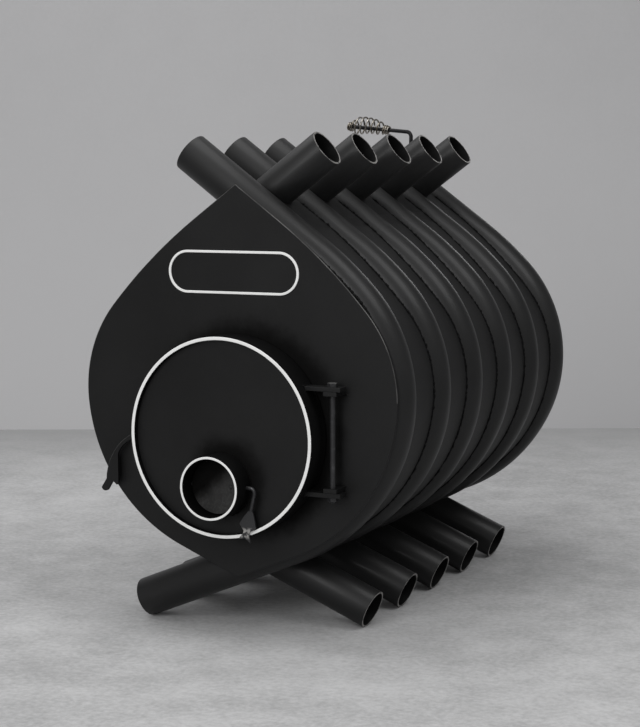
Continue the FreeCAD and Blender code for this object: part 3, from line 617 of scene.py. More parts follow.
def sooted_steel(name):
    """Steel of the air damper with painted shadow over its upper-left part."""
    paint = Finish(name)
    centre, radius = disc_of("air_damper_disc")
    up = polar(math.radians(130))
    ragged = paint.noise(60.0, detail=4.0, roughness=0.6).swing(0.012)
    height = paint.along(up) - centre.dot(up) + ragged
    # The upper-left part is painted shadow, with a ragged edge.
    black = paint.between(height, -radius * 0.25, radius * 0.35)
    steel = scaled_skin(paint, sizes("colours").sooted, rust=0)
    return paint.end(paint.blend(black, steel, painted_shade_skin(paint)))


def dulled_zinc(name):
    """Zinc-plated fastener that heat and handling have dulled."""
    paint = Finish(name)
    tone = sizes("colours").zinc
    dull = paint.between(paint.noise(160.0, detail=4.0, roughness=0.6), 0.4, 0.68)
    scratch = paint.noise(700.0, detail=2.0, roughness=0.5, stretch=(1, 1, 0.15))
    return paint.surface(
        Base_Color=paint.mixed(dull, shade(tone, 1.1), shade(tone, 0.5)),
        Metallic=0.95 - dull * 0.2,
        Roughness=0.3 + dull * 0.22 + scratch.swing(0.14),
        Normal=paint.bumped(scratch, 0.00005),
    )


def blackened_rod(name, depth, gloss):
    """Drawn rod, oil-blackened, rubbed a little bright; a lower depth is blacker."""
    paint = Finish(name)
    tone = sizes("colours").rod
    rub = paint.between(paint.noise(90.0, detail=5.0, roughness=0.65), 0.52, 0.74)
    drawn = paint.noise(900.0, detail=2.0)
    return paint.surface(
        Base_Color=paint.mixed(rub, shade(tone, depth), shade(tone, 3.4 * depth)),
        Metallic=0.35 + rub * 0.45,
        Roughness=0.4 - rub * 0.08 + drawn.swing(0.12),
        Specular_IOR_Level=gloss,
        Normal=paint.bumped(drawn, 0.00005),
    )


def fingered_rod(name):
    """Blackened plate with a painted highlight about its waist."""
    paint = Finish(name)
    colours = sizes("colours")
    low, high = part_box("air_damper_handle")
    tall = high.z - low.z
    waist = low.z + tall * 0.3
    reach = tall * 0.2
    height = paint.along(AXIS_Z)
    below = paint.between(height, waist - reach, waist - reach / 3)
    above = paint.between(height, waist + reach / 3, waist + reach)
    patch = paint.between(paint.noise(170.0, roughness=0.5), 0.42, 0.58)
    # The bright band about the waist is a painted highlight in patches.
    rub = (below - above) * patch
    drawn = paint.noise(900.0, detail=2.0)
    return paint.surface(
        Base_Color=paint.mixed(rub, shade(colours.rod, 1.15), shade(colours.bare, 1.6)),
        Metallic=0.35 + rub * 0.5,
        Roughness=0.46 - rub * 0.16 + drawn.swing(0.12),
        Normal=paint.bumped(drawn, 0.00005),
    )


def nickel_wire(name):
    """Nickelled spring wire, warmed by heat."""
    paint = Finish(name)
    tone = sizes("colours").wire
    warm = paint.between(paint.noise(55.0, detail=4.0, roughness=0.6), 0.4, 0.66)
    drawn = paint.noise(1300.0, detail=2.0)
    brown = tinted(tone, (0.5, 0.46, 0.4))
    return paint.surface(
        Base_Color=paint.mixed(warm, shade(tone, 1.0), brown),
        Metallic=1.0,
        Roughness=0.17 + warm * 0.1 + drawn.swing(0.1),
        Normal=paint.bumped(drawn, 0.00003),
    )


def rope_fibre(name):
    """Glass-fibre rope, sooted in patches."""
    paint = Finish(name)
    tone = sizes("colours").rope
    sooted = paint.between(paint.noise(38.0, detail=5.0, roughness=0.65), 0.42, 0.7)
    fibre = paint.noise(2200.0, roughness=0.6)
    return paint.surface(
        Base_Color=paint.mixed(sooted, shade(tone, 1.0), shade(tone, 0.22)),
        Roughness=0.82 + fibre.swing(0.2),
        Sheen_Weight=0.25,
        Normal=paint.bumped(fibre, 0.0004),
    )


FINISH_MAKERS = {
    "plate_enamel": partial(black_enamel, black="enamel", enamel=PLATE_ENAMEL),
    # The front plate and the door disc carry painted shadow round the door rim and the air pipe.
    "front_enamel": partial(shadow_painted_enamel, node="door_rim", spread=0.028, shadow_shift=(0.012, 0.004)),
    "disc_enamel": partial(shadow_painted_enamel, node="air_pipe", spread=0.026, shadow_shift=(0.006, 0.008)),
    "strip_enamel": partial(black_enamel, black="enamel", enamel=STRIP_ENAMEL),
    "tube_enamel": partial(black_enamel, black="enamel", enamel=TUBE_ENAMEL),
    "ring_enamel": partial(black_enamel, black="deep", enamel=RING_ENAMEL),
    "weld_enamel": partial(black_enamel, black="deep", enamel=WELD_ENAMEL),
    "rubbed_edge": rubbed_edge,
    "white_edge": white_enamel,
    "worn_mouth": worn_mouth,
    "scaled_steel": scaled_steel,
    "sooted_steel": sooted_steel,
    "soot": soot,
    "dulled_zinc": dulled_zinc,
    "blackened_rod": partial(blackened_rod, depth=1.0, gloss=0.5),
    "smoked_rod": partial(blackened_rod, depth=0.4, gloss=0.25),
    "fingered_rod": fingered_rod,
    "nickel_wire": nickel_wire,
    "rope_fibre": rope_fibre,
}


@cache
def finish(name):
    """The finish of that name, made at its first use."""
    return FINISH_MAKERS[name](name)


def shaped_tree(name, inputs):
    """An empty Geometry Nodes tree with named inputs, and a sheet to write it on."""
    group = bpy.data.node_groups.new(name, "GeometryNodeTree")
    group.interface.new_socket("Geometry", in_out="INPUT", socket_type="NodeSocketGeometry")
    for label, kind in inputs:
        group.interface.new_socket(label, in_out="INPUT", socket_type=kind)
    group.interface.new_socket("Geometry", in_out="OUTPUT", socket_type="NodeSocketGeometry")
    sheet = Sheet(group)
    return sheet, sheet.add("NodeGroupInput")


def close_tree(sheet, given, shape):
    """Ends a tree: smooth, real, in its material."""
    smooth = sheet.add("GeometryNodeSetShadeSmooth", None, {"Geometry": shape})
    real = sheet.add("GeometryNodeRealizeInstances", None, {"Geometry": smooth})
    values = {"Geometry": real, "Material": given.also("Material")}
    finished = sheet.add("GeometryNodeSetMaterial", None, values)
    sheet.add("NodeGroupOutput", None, {0: finished})
    return sheet.tree


def bar_tree():
    """Round bar, pipe skin or strand along a path."""
    inputs = (
        ("Radius", "NodeSocketFloat"),
        ("Sides", "NodeSocketInt"),
        ("Capped", "NodeSocketBool"),
        ("Material", "NodeSocketMaterial"),
    )
    sheet, given = shaped_tree("Round bar along a path", inputs)
    path = sheet.add("GeometryNodeMeshToCurve", None, {"Mesh": given})
    ring = {"Resolution": given.also("Sides"), "Radius": given.also("Radius")}
    section = sheet.add("GeometryNodeCurvePrimitiveCircle", {"mode": "RADIUS"}, ring)
    values = {"Curve": path, "Profile Curve": section, "Fill Caps": given.also("Capped")}
    return close_tree(sheet, given, sheet.add("GeometryNodeCurveToMesh", None, values))


def bead_tree():
    """Rippled weld bead along a seam."""
    inputs = (
        ("Spacing", "NodeSocketFloat"),
        ("Width", "NodeSocketFloat"),
        ("Ripple", "NodeSocketFloat"),
        ("Unevenness", "NodeSocketFloat"),
        ("Wander", "NodeSocketFloat"),
        ("Seed", "NodeSocketInt"),
        ("Material", "NodeSocketMaterial"),
    )
    sheet, given = shaped_tree("Weld bead along a seam", inputs)

    def spread(middle, half, seed):
        """A random vector whose parts lie within half of the middle."""
        low = sheet.add("ShaderNodeCombineXYZ", None, {k: middle - half for k in range(3)})
        high = sheet.add("ShaderNodeCombineXYZ", None, {k: middle + half for k in range(3)})
        values = {"Min": low, "Max": high, "Seed": seed}
        return sheet.add("FunctionNodeRandomValue", {"data_type": "FLOAT_VECTOR"}, values)

    seam = sheet.add("GeometryNodeMeshToCurve", None, {"Mesh": given})
    values = {"Curve": seam, "Length": given.also("Spacing")}
    points = sheet.add("GeometryNodeCurveToPoints", {"mode": "LENGTH"}, values)
    stray = spread(0, given.also("Wander"), given.also("Seed"))
    moved = sheet.add("GeometryNodeSetPosition", None, {"Geometry": points, "Offset": stray})
    drop = sheet.add("GeometryNodeMeshUVSphere", None, {"Segments": 7, "Rings": 5, "Radius": 0.5})
    width = given.also("Width")
    size = sheet.add("ShaderNodeCombineXYZ", None, {0: width, 1: width, 2: given.also("Ripple")})
    vary = spread(1, given.also("Unevenness"), given.also("Seed") + 1)
    scale = sheet.add("ShaderNodeVectorMath", {"operation": "MULTIPLY"}, {0: size, 1: vary})
    values = {"Points": moved, "Instance": drop, "Rotation": points.also("Rotation"), "Scale": scale}
    return close_tree(sheet, given, sheet.add("GeometryNodeInstanceOnPoints", None, values))


def set_tree():
    """One fastener repeated at each point."""
    inputs = (("Fastener", "NodeSocketObject"), ("Material", "NodeSocketMaterial"))
    sheet, given = shaped_tree("Fasteners at points", inputs)
    values = {"Object": given.also("Fastener")}
    pattern = sheet.add("GeometryNodeObjectInfo", None, values, "Geometry")
    values = {"Points": given, "Instance": pattern}
    return close_tree(sheet, given, sheet.add("GeometryNodeInstanceOnPoints", None, values))


TREE_MAKERS = {"bar": bar_tree, "bead": bead_tree, "set": set_tree}


@cache
def tree(name):
    """The Geometry Nodes tree of that name, made at its first use."""
    return TREE_MAKERS[name]()


def input_id(group, label):
    """Identifier of a tree's named input."""
    for item in group.interface.items_tree:
        if item.item_type == "SOCKET" and item.in_out == "INPUT" and item.name == label:
            return item.identifier
    raise RuntimeError("the tree has no input named " + label)


def new_object(name, data):
    """An object with a mesh, a light or a camera as its data, at the scene's origin."""
    made = bpy.data.objects.new(name, data)
    bpy.context.scene.collection.objects.link(made)
    return made


def baked(made):
    """Turns an object's modifiers into plain mesh."""
    graph = bpy.context.evaluated_depsgraph_get()
    mesh = bpy.data.meshes.new_from_object(made.evaluated_get(graph))
    made.modifiers.clear()
    raw = made.data
    made.data = mesh
    mesh.name = made.name
    bpy.data.meshes.remove(raw)
    if not mesh.polygons:
        raise RuntimeError(made.name + " came out empty")
    return made


def path_mesh(name, lines, closed):
    """Mesh of edges only, one run of edges for each line of points."""
    points = []
    edges = []
    for line in lines:
        first = len(points)
        points += line
        edges += [(k, k + 1) for k in range(first, len(points) - 1)]
        if closed:
            edges.append((len(points) - 1, first))
    mesh = bpy.data.meshes.new(name)
    mesh.from_pydata(points, edges, [])
    return mesh


def grown(name, mesh, kind, **values):
    """A piece that a Geometry Nodes tree makes from a mesh; the keywords are the tree's inputs."""
    made = new_object(name, mesh)
    modifier = made.modifiers.new("Shape", "NODES")
    modifier.node_group = tree(kind)
    for label, value in values.items():
        modifier[input_id(modifier.node_group, label)] = value
    return made


def bar(node, lines, closed, paint, radius, sides, capped=False):
    """Round bars, strands or a pipe's skin along lines, named for the node that they replace."""
    return grown(
        node + "_finished",
        path_mesh(node, lines, closed),
        "bar",
        Radius=radius,
        Sides=sides,
        Capped=capped,
        Material=finish(paint),
    )


def smoothed(made, degrees):
    """Smooth shading that keeps edges sharper than an angle."""
    made.data.shade_smooth()
    made.data.set_sharp_from_angle(angle=math.radians(degrees))
    return made


def rounded(made, width, degrees):
    """Adds a rounding of the edges sharper than an angle."""
    modifier = made.modifiers.new("Rounding", "BEVEL")
    modifier.width = width
    modifier.segments = ROUNDING_STEPS
    modifier.limit_method = "ANGLE"
    modifier.angle_limit = math.radians(degrees)
    return made


def flattened(made):
    """Keeps flat faces evenly shaded next to their rounded edges."""
    made.data.shade_smooth()
    modifier = made.modifiers.new("Flats", "WEIGHTED_NORMAL")
    modifier.keep_sharp = True
    return made


def tied(made, node):
    """A finished piece takes the place and the body of its node, and the node is hidden."""
    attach(made, BODY_OF[node])
    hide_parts(node)
    return made


def added(made, body):
    """A finished piece that stands for no node rides on a body."""
    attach(made, body)
    return made


def dressed(node, paint, rounding=0.0):
    """The node's own shape with merged faces, rounded edges and a finish."""
    mesh = frame["nodes"][node].data.copy()
    mesh.materials.clear()
    mesh.materials.append(finish(paint))
    work = bmesh.new()
    work.from_mesh(mesh)
    for face in work.faces:
        face.material_index = 0
    bmesh.ops.remove_doubles(work, verts=work.verts, dist=SAME_CORNER)
    flat = math.radians(FLAT_ANGLE)
    bmesh.ops.dissolve_limit(work, angle_limit=flat, verts=work.verts, edges=work.edges)
    work.to_mesh(mesh)
    work.free()
    made = new_object(node + "_finished", mesh)
    if rounding:
        baked(flattened(rounded(made, rounding, SHEET_CREASE)))
    else:
        smoothed(made, SHEET_CREASE)
    return tied(made, node)


def painted(made, paint, test):
    """Gives the faces that pass a test another finish."""
    made.data.materials.append(finish(paint))
    index = len(made.data.materials) - 1
    for face in made.data.polygons:
        if test(face):
            face.material_index = index
    return made


def mesh_of(name, points, faces, paint):
    """A closed mesh with its faces turned outwards."""
    mesh = bpy.data.meshes.new(name)
    mesh.from_pydata(points, [], faces)
    mesh.materials.append(finish(paint))
    work = bmesh.new()
    work.from_mesh(mesh)
    bmesh.ops.remove_doubles(work, verts=work.verts, dist=SAME_POINT)
    bmesh.ops.recalc_face_normals(work, faces=work.faces)
    work.to_mesh(mesh)
    work.free()
    return mesh


def softened(corners, radius):
    """A closed outline with its corners rounded, each over a limited share of its sides."""
    steps = 3
    largest = 0.45
    outline = []
    for before, corner, after in zip(corners[-1:] + corners[:-1], corners, corners[1:] + corners[:1]):
        corner = Vector(corner)
        inward = Vector(before) - corner
        outward = Vector(after) - corner
        reach = min(radius, inward.length * largest, outward.length * largest)
        start = corner + inward.normalized() * reach
        end = corner + outward.normalized() * reach
        for k in range(steps + 1):
            t = k / steps
            outline.append(start * (1 - t) ** 2 + corner * (2 * t * (1 - t)) + end * t ** 2)
    return outline


def swept(columns, place, axis):
    """Points and faces of columns of (radius, height) that stand in a ring about an axis."""
    turn = AXIS_Z.rotation_difference(axis).to_matrix()
    around = len(columns)
    size = len(columns[0])
    points = []
    faces = []
    for k, column in enumerate(columns):
        bearing = 2 * math.pi * k / around
        for radius, height in column:
            spoke = Vector((radius * math.cos(bearing), radius * math.sin(bearing), height))
            points.append(place + turn @ spoke)
        ahead = (k + 1) % around * size
        for j in range(size):
            after = (j + 1) % size
            faces.append((k * size + j, k * size + after, ahead + after, ahead + j))
    return points, faces


def lathe(outline, segments, place, axis):
    """Points and faces of a closed outline of (radius, height) turned about an axis."""
    return swept([outline] * segments, place, axis)


def disc_of(node):
    """Front centre and radius of a round node that lies along Y."""
    low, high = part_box(node)
    centre = Vector(((low.x + high.x) / 2, low.y, (low.z + high.z) / 2))
    return centre, max(high.x - low.x, high.z - low.z) / 2


def depth_of(node):
    """Length of a node along Y."""
    low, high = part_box(node)
    return high.y - low.y


def off_axis(face, centre):
    """Distance of a face's middle from an axis along Y."""
    return math.hypot(face.center.x - centre.x, face.center.z - centre.z)


def turned(node, corners, paint):
    """A node's outline of (radius, length), softened and turned about its axis along Y."""
    door = sizes("door")
    centre = disc_of(node)[0]
    points, faces = lathe(softened(corners, door.edge_round), door.segments, centre, AXIS_Y)
    made = new_object(node + "_finished", mesh_of(node, points, faces, paint))
    return smoothed(tied(made, node), TURNED_CREASE)


def turned_ring(node, wall, paint):
    """A plain ring along Y with rounded edges."""
    radius = disc_of(node)[1]
    depth = depth_of(node)
    corners = [(radius - wall, 0), (radius, 0), (radius, depth), (radius - wall, depth)]
    return turned(node, corners, paint)


def polar(bearing):
    """Unit vector in the XZ plane, measured up from +X."""
    return Vector((math.cos(bearing), 0, math.sin(bearing)))


class Bend:
    """Right-hand half of the stove's profile: three tangent arcs between two straight legs."""

    def __init__(self, group):
        tubes = sizes("tubes")
        own = sizes(group)
        shoulder = own.shoulder_radius
        across = tubes.half_width - tubes.diameter / 2 - shoulder
        middle = Vector((across, 0, tubes.shoulder_height))
        low = middle + polar(own.shoulder_low) * (shoulder - own.lower_radius)
        high = middle + polar(own.shoulder_top) * (shoulder - own.upper_radius)
        right_angle = math.pi / 2
        self.step = tubes.step
        self.arcs = (
            (low, own.lower_radius, tubes.lower_slope - right_angle, own.shoulder_low),
            (middle, shoulder, own.shoulder_low, own.shoulder_top),
            (high, own.upper_radius, own.shoulder_top, right_angle - tubes.upper_slope),
        )

    def leg(self, upper):
        """Point where a straight leg starts, and its outward direction."""
        centre, radius, start, end = self.arcs[2 if upper else 0]
        outward = polar(end if upper else start)
        return centre + outward * radius, outward

    def leg_point(self, offset, x, upper):
        """Point at x on a straight leg, offset outwards."""
        foot, outward = self.leg(upper)
        foot = foot + outward * offset
        return Vector((x, 0, foot.z - (x - foot.x) * outward.x / outward.z))

    def line(self, offset, low_x, high_x):
        """Points along the bend, from low_x on the lower leg to high_x on the upper one."""
        points = [self.leg_point(offset, low_x, False)]
        for centre, radius, start, end in self.arcs:
            runs = math.ceil((end - start) * (radius + offset) / self.step)
            first = 0 if len(points) == 1 else 1
            for k in range(first, runs + 1):
                points.append(centre + polar(start + (end - start) * k / runs) * (radius + offset))
        points.append(self.leg_point(offset, high_x, True))
        return points

    def outside(self, point):
        """How far a point lies outside the bend."""
        for centre, radius, start, end in self.arcs:
            spoke = point - centre
            if start <= math.atan2(spoke.z, spoke.x) <= end:
                return spoke.length - radius
        foot, outward = self.leg(point.z > self.arcs[1][0].z)
        return (point - foot).dot(outward)


def placed(points, side, y):
    """Profile points put on the right (side 1) or the left (side -1), at station y."""
    return [Vector((side * point.x, y, point.z)) for point in points]


def middle_y(node):
    """Station of a node's middle."""
    low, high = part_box(node)
    return (low.y + high.y) / 2


def make_tube(node, side):
    """One bent tube with its wall and its saw-cut mouths."""
    tubes = sizes("tubes")
    bend = Bend("tubes")
    radius = tubes.diameter / 2
    reach = tubes.right_reach if side > 0 else tubes.left_reach
    floor_z = radius * math.cos(tubes.lower_slope)
    floor_x = (floor_z - bend.leg_point(0, 0, False).z) / math.tan(tubes.lower_slope)
    station = middle_y(node)
    line = placed(bend.line(0, floor_x, -reach), side, station)
    made = bar(node, [line], False, "tube_enamel", radius, tubes.sides)
    wall = made.modifiers.new("Wall", "SOLIDIFY")
    wall.thickness = tubes.wall
    wall.offset = -1
    wall.use_even_offset = True
    baked(rounded(made, tubes.mouth_round, CUT_CREASE))
    mouths = [(end, (end - before).normalized()) for end, before in (line[:2], line[:-3:-1])]

    def in_bore(face):
        across = bend.outside(Vector((side * face.center.x, 0, face.center.z)))
        return math.hypot(across, face.center.y - station) < radius - tubes.wall / 2

    def at_mouth(face):
        return any(
            abs((face.center - end).dot(heading)) < tubes.mouth_round / 2
            and face.normal.dot(heading) > FACING
            for end, heading in mouths
        )

    # The bore is painted in the deeper black: painted shade inside the tube.
    painted(made, "ring_enamel", in_bore)
    painted(made, "worn_mouth", at_mouth)
    return smoothed(tied(made, node), TURNED_CREASE)


class STOVE_OT_tubes(bpy.types.Operator):
    """Bend the convection tubes of both sides"""

    bl_idname = "stove.tubes"
    bl_label = "Convection tubes"

    def execute(self, context):
        for node in RIGHT_TUBES:
            make_tube(node, 1)
        for node in LEFT_TUBES:
            make_tube(node, -1)
        return {"FINISHED"}


class STOVE_OT_sheets(bpy.types.Operator):
    """Dress the wall strips, the plates and the outline on the front"""

    bl_idname = "stove.sheets"
    bl_label = "Wall strips and plates"

    def execute(self, context):
        sheets = sizes("sheets")
        for node in STRIPS:
            dressed(node, "strip_enamel")
        front = dressed("front_plate", "front_enamel", sheets.front_round)
        centre, radius = disc_of("door_rim")
        clear_of_door = radius * 1.1
        shoulder = sizes("tubes").shoulder_height

        # The front plate's upper outer edge gets a painted highlight.
        def on_upper_edge(face):
            rounds_off = -FLAT_ON < face.normal.y < -EDGE_ON
            return rounds_off and face.center.z > shoulder and off_axis(face, centre) > clear_of_door

        painted(front, "rubbed_edge", on_upper_edge)
        dressed("rear_plate", "plate_enamel", sheets.plate_round)
        dressed("badge_frame", "white_edge", sheets.thin_round)
        dressed("baffle_plate", "scaled_steel", sheets.thin_round)
        dressed("secondary_air_nozzles", "scaled_steel", sheets.nozzle_round)
        return {"FINISHED"}


def weld(name, lines, closed, width, body, paint="weld_enamel"):
    """Weld beads along seams."""
    welds = sizes("welds")
    ratio = width / welds.width
    made = grown(
        name,
        path_mesh(name, lines, closed),
        "bead",
        Spacing=welds.spacing * ratio,
        Width=width,
        Ripple=welds.ripple * ratio,
        Unevenness=welds.uneven,
        Wander=welds.wander * ratio,
        Seed=welds.seed,
        Material=finish(paint),
    )
    return added(baked(made), body)


def ring_line(centre, radius, steps):
    """Points of a circle round an axis along Y."""
    return [centre + polar(2 * math.pi * k / steps) * radius for k in range(steps)]


def weld_round(name, node, station, width, body, paint="weld_enamel"):
    """A bead round a node, at a station along Y."""
    centre, radius = disc_of(node)
    centre.y = station
    return weld(name, [ring_line(centre, radius, RING_RUNS)], True, width, body, paint)


def strip_seam(side, y, heading):
    """Where the strips' outer face meets the front (heading -1) or the back (1) of a tube."""
    gap = sizes("welds").ridge_gap
    radius = sizes("tubes").diameter / 2
    bend = Bend("tubes")
    points = []
    for point in Bend("casing").line(sizes("casing").set_out, gap, gap):
        depth = math.sqrt(max(radius ** 2 - bend.outside(point) ** 2, 0))
        points.append(Vector((side * point.x, y + heading * depth, point.z)))
    return points


def lay_strip_welds(name, tubes, side):
    """Beads between the strips and the tubes of one side."""
    seams = []
    for node in tubes:
        for heading in (-1, 1):
            faces_plate = (node, heading) in ((RIGHT_TUBES[0], -1), (RIGHT_TUBES[-1], 1))
            if not faces_plate:
                seams.append(strip_seam(side, middle_y(node), heading))
    return weld(name, seams, False, sizes("welds").width, "stove")


def weld_plates():
    """Beads between the plates and the first and last tube."""
    welds = sizes("welds")
    seat = welds.width / 2
    line = Bend("tubes").line(welds.plate_seam, welds.ridge_gap, welds.ridge_gap)
    stations = (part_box("front_plate")[1].y + seat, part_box("rear_plate")[0].y - seat)
    seams = [placed(line, 1, station) for station in stations]
    return weld("welds_plates", seams, False, welds.width, "stove")


def weld_front_lugs():
    """Beads on the hinge lugs, on the side away from each arm, and on the latch keeper."""
    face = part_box("front_plate")[0].y
    seams = []
    for height in ("upper", "lower"):
        low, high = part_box("hinge_lug_" + height)
        arm_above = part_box("hinge_arm_" + height)[0].z > low.z
        z = low.z if arm_above else high.z
        seams.append([Vector((low.x, face, z)), Vector((high.x, face, z))])
    low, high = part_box("latch_keeper")
    seams.append([Vector((low.x, face, low.z)), Vector((low.x, face, high.z))])
    return weld("welds_front_lugs", seams, False, sizes("welds").fine_width, "stove")


def weld_door_fittings():
    """Beads between the door rim, the hinge arms and the latch lug."""
    centre, radius = disc_of("door_rim")
    seams = []
    for node in ("hinge_arm_upper", "hinge_arm_lower"):
        low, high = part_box(node)
        for z in (low.z, high.z):
            x = math.sqrt(radius ** 2 - (z - centre.z) ** 2)
            seams.append([Vector((x, low.y, z)), Vector((x, high.y, z))])
    low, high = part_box("latch_lug")
    for y in (low.y, high.y):
        seams.append([Vector((-radius, y, low.z)), Vector((-radius, y, high.z))])
    return weld("welds_door", seams, False, sizes("welds").fine_width, "door")


class STOVE_OT_welds(bpy.types.Operator):
    """Lay the weld beads of the firebox, the flue and the door"""

    bl_idname = "stove.welds"
    bl_label = "Weld beads"

    def execute(self, context):
        welds = sizes("welds")
        lay_strip_welds("welds_right", RIGHT_TUBES, 1)
        lay_strip_welds("welds_left", LEFT_TUBES, -1)
        weld_plates()
        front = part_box("front_plate")[0].y
        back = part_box("rear_plate")[1].y
        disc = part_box("door_disc")[0].y
        weld_round("weld_collar", "door_collar", front, welds.fine_width, "stove")
        weld_round("weld_flue", "flue_stub", back, welds.width, "stove")
        # The air pipe's bead is painted near-black: painted shade.
        weld_round("weld_air_pipe", "air_pipe", disc, welds.fine_width, "door", "soot")
        weld_front_lugs()
        weld_door_fittings()
        return {"FINISHED"}


def white_fronted(made, node):
    """Paints the front edge of a node's ring white."""
    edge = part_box(node)[0].y + sizes("door").edge_paint
    return painted(made, "white_edge", lambda face: face.center.y < edge)


class STOVE_OT_door(bpy.types.Operator):
    """Turn the door's rings and dress its disc, shield and arms"""

    bl_idname = "stove.door"
    bl_label = "Door"

    def execute(self, context):
        door = sizes("door")
        sheets = sizes("sheets")
        # The rim and the air pipe are painted in the deeper black that stands for shade on their sides.
        rim = turned_ring("door_rim", door.rim_wall, "ring_enamel")
        pipe = turned_ring("air_pipe", door.pipe_wall, "ring_enamel")
        centre, radius = disc_of("air_pipe")
        mid_wall = radius - door.pipe_wall / 2
        # The bore is painted near-black: painted shade.
        painted(pipe, "soot", lambda face: off_axis(face, centre) < mid_wall)
        white_fronted(rim, "door_rim")
        white_fronted(pipe, "air_pipe")
        turned_ring("door_collar", door.collar_wall, "plate_enamel")
        turned_ring("seal_ring", door.seal_wall, "scaled_steel")
        dressed("door_disc", "disc_enamel", sheets.disc_round)
        dressed("heat_shield", "scaled_steel", sheets.disc_round)
        for node in ("hinge_arm_upper", "hinge_arm_lower", "latch_lug"):
            dressed(node, "plate_enamel", sheets.plate_round)
        return {"FINISHED"}


class STOVE_OT_rope(bpy.types.Operator):
    """Lay the braided rope seal in the door"""

    bl_idname = "stove.rope"
    bl_label = "Rope seal"

    def execute(self, context):
        rope = sizes("rope")
        low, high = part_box("rope_seal")
        centre = (low + high) / 2
        radius = (high.y - low.y) / 2
        ring = max(high.x - low.x, high.z - low.z) / 2 - radius
        lay = radius - rope.strand / 2
        steps = rope.twists * rope.per_twist
        lines = [ring_line(centre, ring, steps)]
        for strand in range(rope.strands):
            line = []
            for k in range(steps):
                spoke = polar(2 * math.pi * k / steps)
                turn = 2 * math.pi * (k / rope.per_twist + strand / rope.strands)
                out = spoke * (ring + lay * math.cos(turn))
                line.append(centre + out + AXIS_Y * lay * math.sin(turn))
            lines.append(line)
        made = bar("rope_seal", lines, True, "rope_fibre", rope.strand / 2, rope.sides)
        tied(baked(made), "rope_seal")
        return {"FINISHED"}


def hexagon(flats, height, bore, chamfer_low, place, axis):
    """Points and faces of a chamfered hexagon with a bore, standing on place."""
    steps = 36
    apothem = flats / 2
    crown = apothem * 0.97
    relief = flats * 0.03
    chamfer = math.tan(math.radians(30))
    side = math.pi / 3
    columns = []
    for k in range(steps):
        off = (2 * math.pi * k / steps + side / 2) % side - side / 2
        reach = apothem / math.cos(off)
        drop = (reach - crown) * chamfer
        low = drop if chamfer_low else 0.0
        lower = [(bore, relief), (bore + relief, 0), (crown, 0), (reach, low)]
        upper = [(reach, height - drop), (crown, height), (bore + relief, height), (bore, height - relief)]
        columns.append(lower + upper)
    return swept(columns, place, axis)


def thread(radius, start, end):
    """Outline points of a threaded stretch, from start to end."""
    bolt = sizes("fasteners")
    turns = max(1, round((end - start) / bolt.thread_pitch))
    pitch = (end - start) / turns
    outline = []
    for k in range(turns):
        outline.append((radius - bolt.thread_depth, start + pitch * k))
        outline.append((radius, start + pitch * (k + 0.5)))
    outline.append((radius - bolt.thread_depth, end))
    return outline


def joined(*solids):
    """Several sets of points and faces as one."""
    points = []
    faces = []
    for more, sides in solids:
        base = len(points)
        points += more
        faces += [tuple(base + corner for corner in side) for side in sides]
    return points, faces


def fastener(name, solids, paint):
    """A fastener's mesh on an object of its own."""
    points, faces = joined(*solids)
    return smoothed(new_object(name, mesh_of(name, points, faces, paint)), FASTENER_CREASE)


class STOVE_OT_hinge(bpy.types.Operator):
    """Fit the hinge's lugs, bolt and nut"""

    bl_idname = "stove.hinge"
    bl_label = "Hinge"

    def execute(self, context):
        bolt = sizes("fasteners")
        for node in ("hinge_lug_upper", "hinge_lug_lower"):
            dressed(node, "plate_enamel", sizes("sheets").plate_round)
        low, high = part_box("hinge_pin")
        nut_low, nut_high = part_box("hinge_nut")
        radius = bolt.hinge_pin / 2
        foot = Vector(((low.x + high.x) / 2, (low.y + high.y) / 2, low.z))
        head = high.z - low.z - bolt.hinge_head
        threaded = nut_high.z - low.z + bolt.hinge_thread
        outline = [(HUB, 0)] + thread(radius, bolt.thread_end, threaded)
        outline += [(radius, threaded + bolt.hinge_runout), (radius, head), (HUB, head)]
        shank = lathe(outline, bolt.pin_sides, foot, AXIS_Z)
        seat = foot + AXIS_Z * head
        cap = hexagon(bolt.hinge_flats, bolt.hinge_head, HUB, False, seat, AXIS_Z)
        made = fastener("hinge_pin_finished", [shank, cap], "blackened_rod")

        # The bolt head's top face is painted bright zinc: a painted highlight.
        def on_lit_top(face):
            return face.normal.z > UPWARD and face.center.z > low.z + head

        painted(made, "dulled_zinc", on_lit_top)
        tied(made, "hinge_pin")
        place = Vector((foot.x, foot.y, nut_low.z))
        nut = hexagon(bolt.hinge_flats, nut_high.z - nut_low.z, radius, True, place, AXIS_Z)
        tied(fastener("hinge_nut_finished", [nut], "blackened_rod"), "hinge_nut")
        return {"FINISHED"}


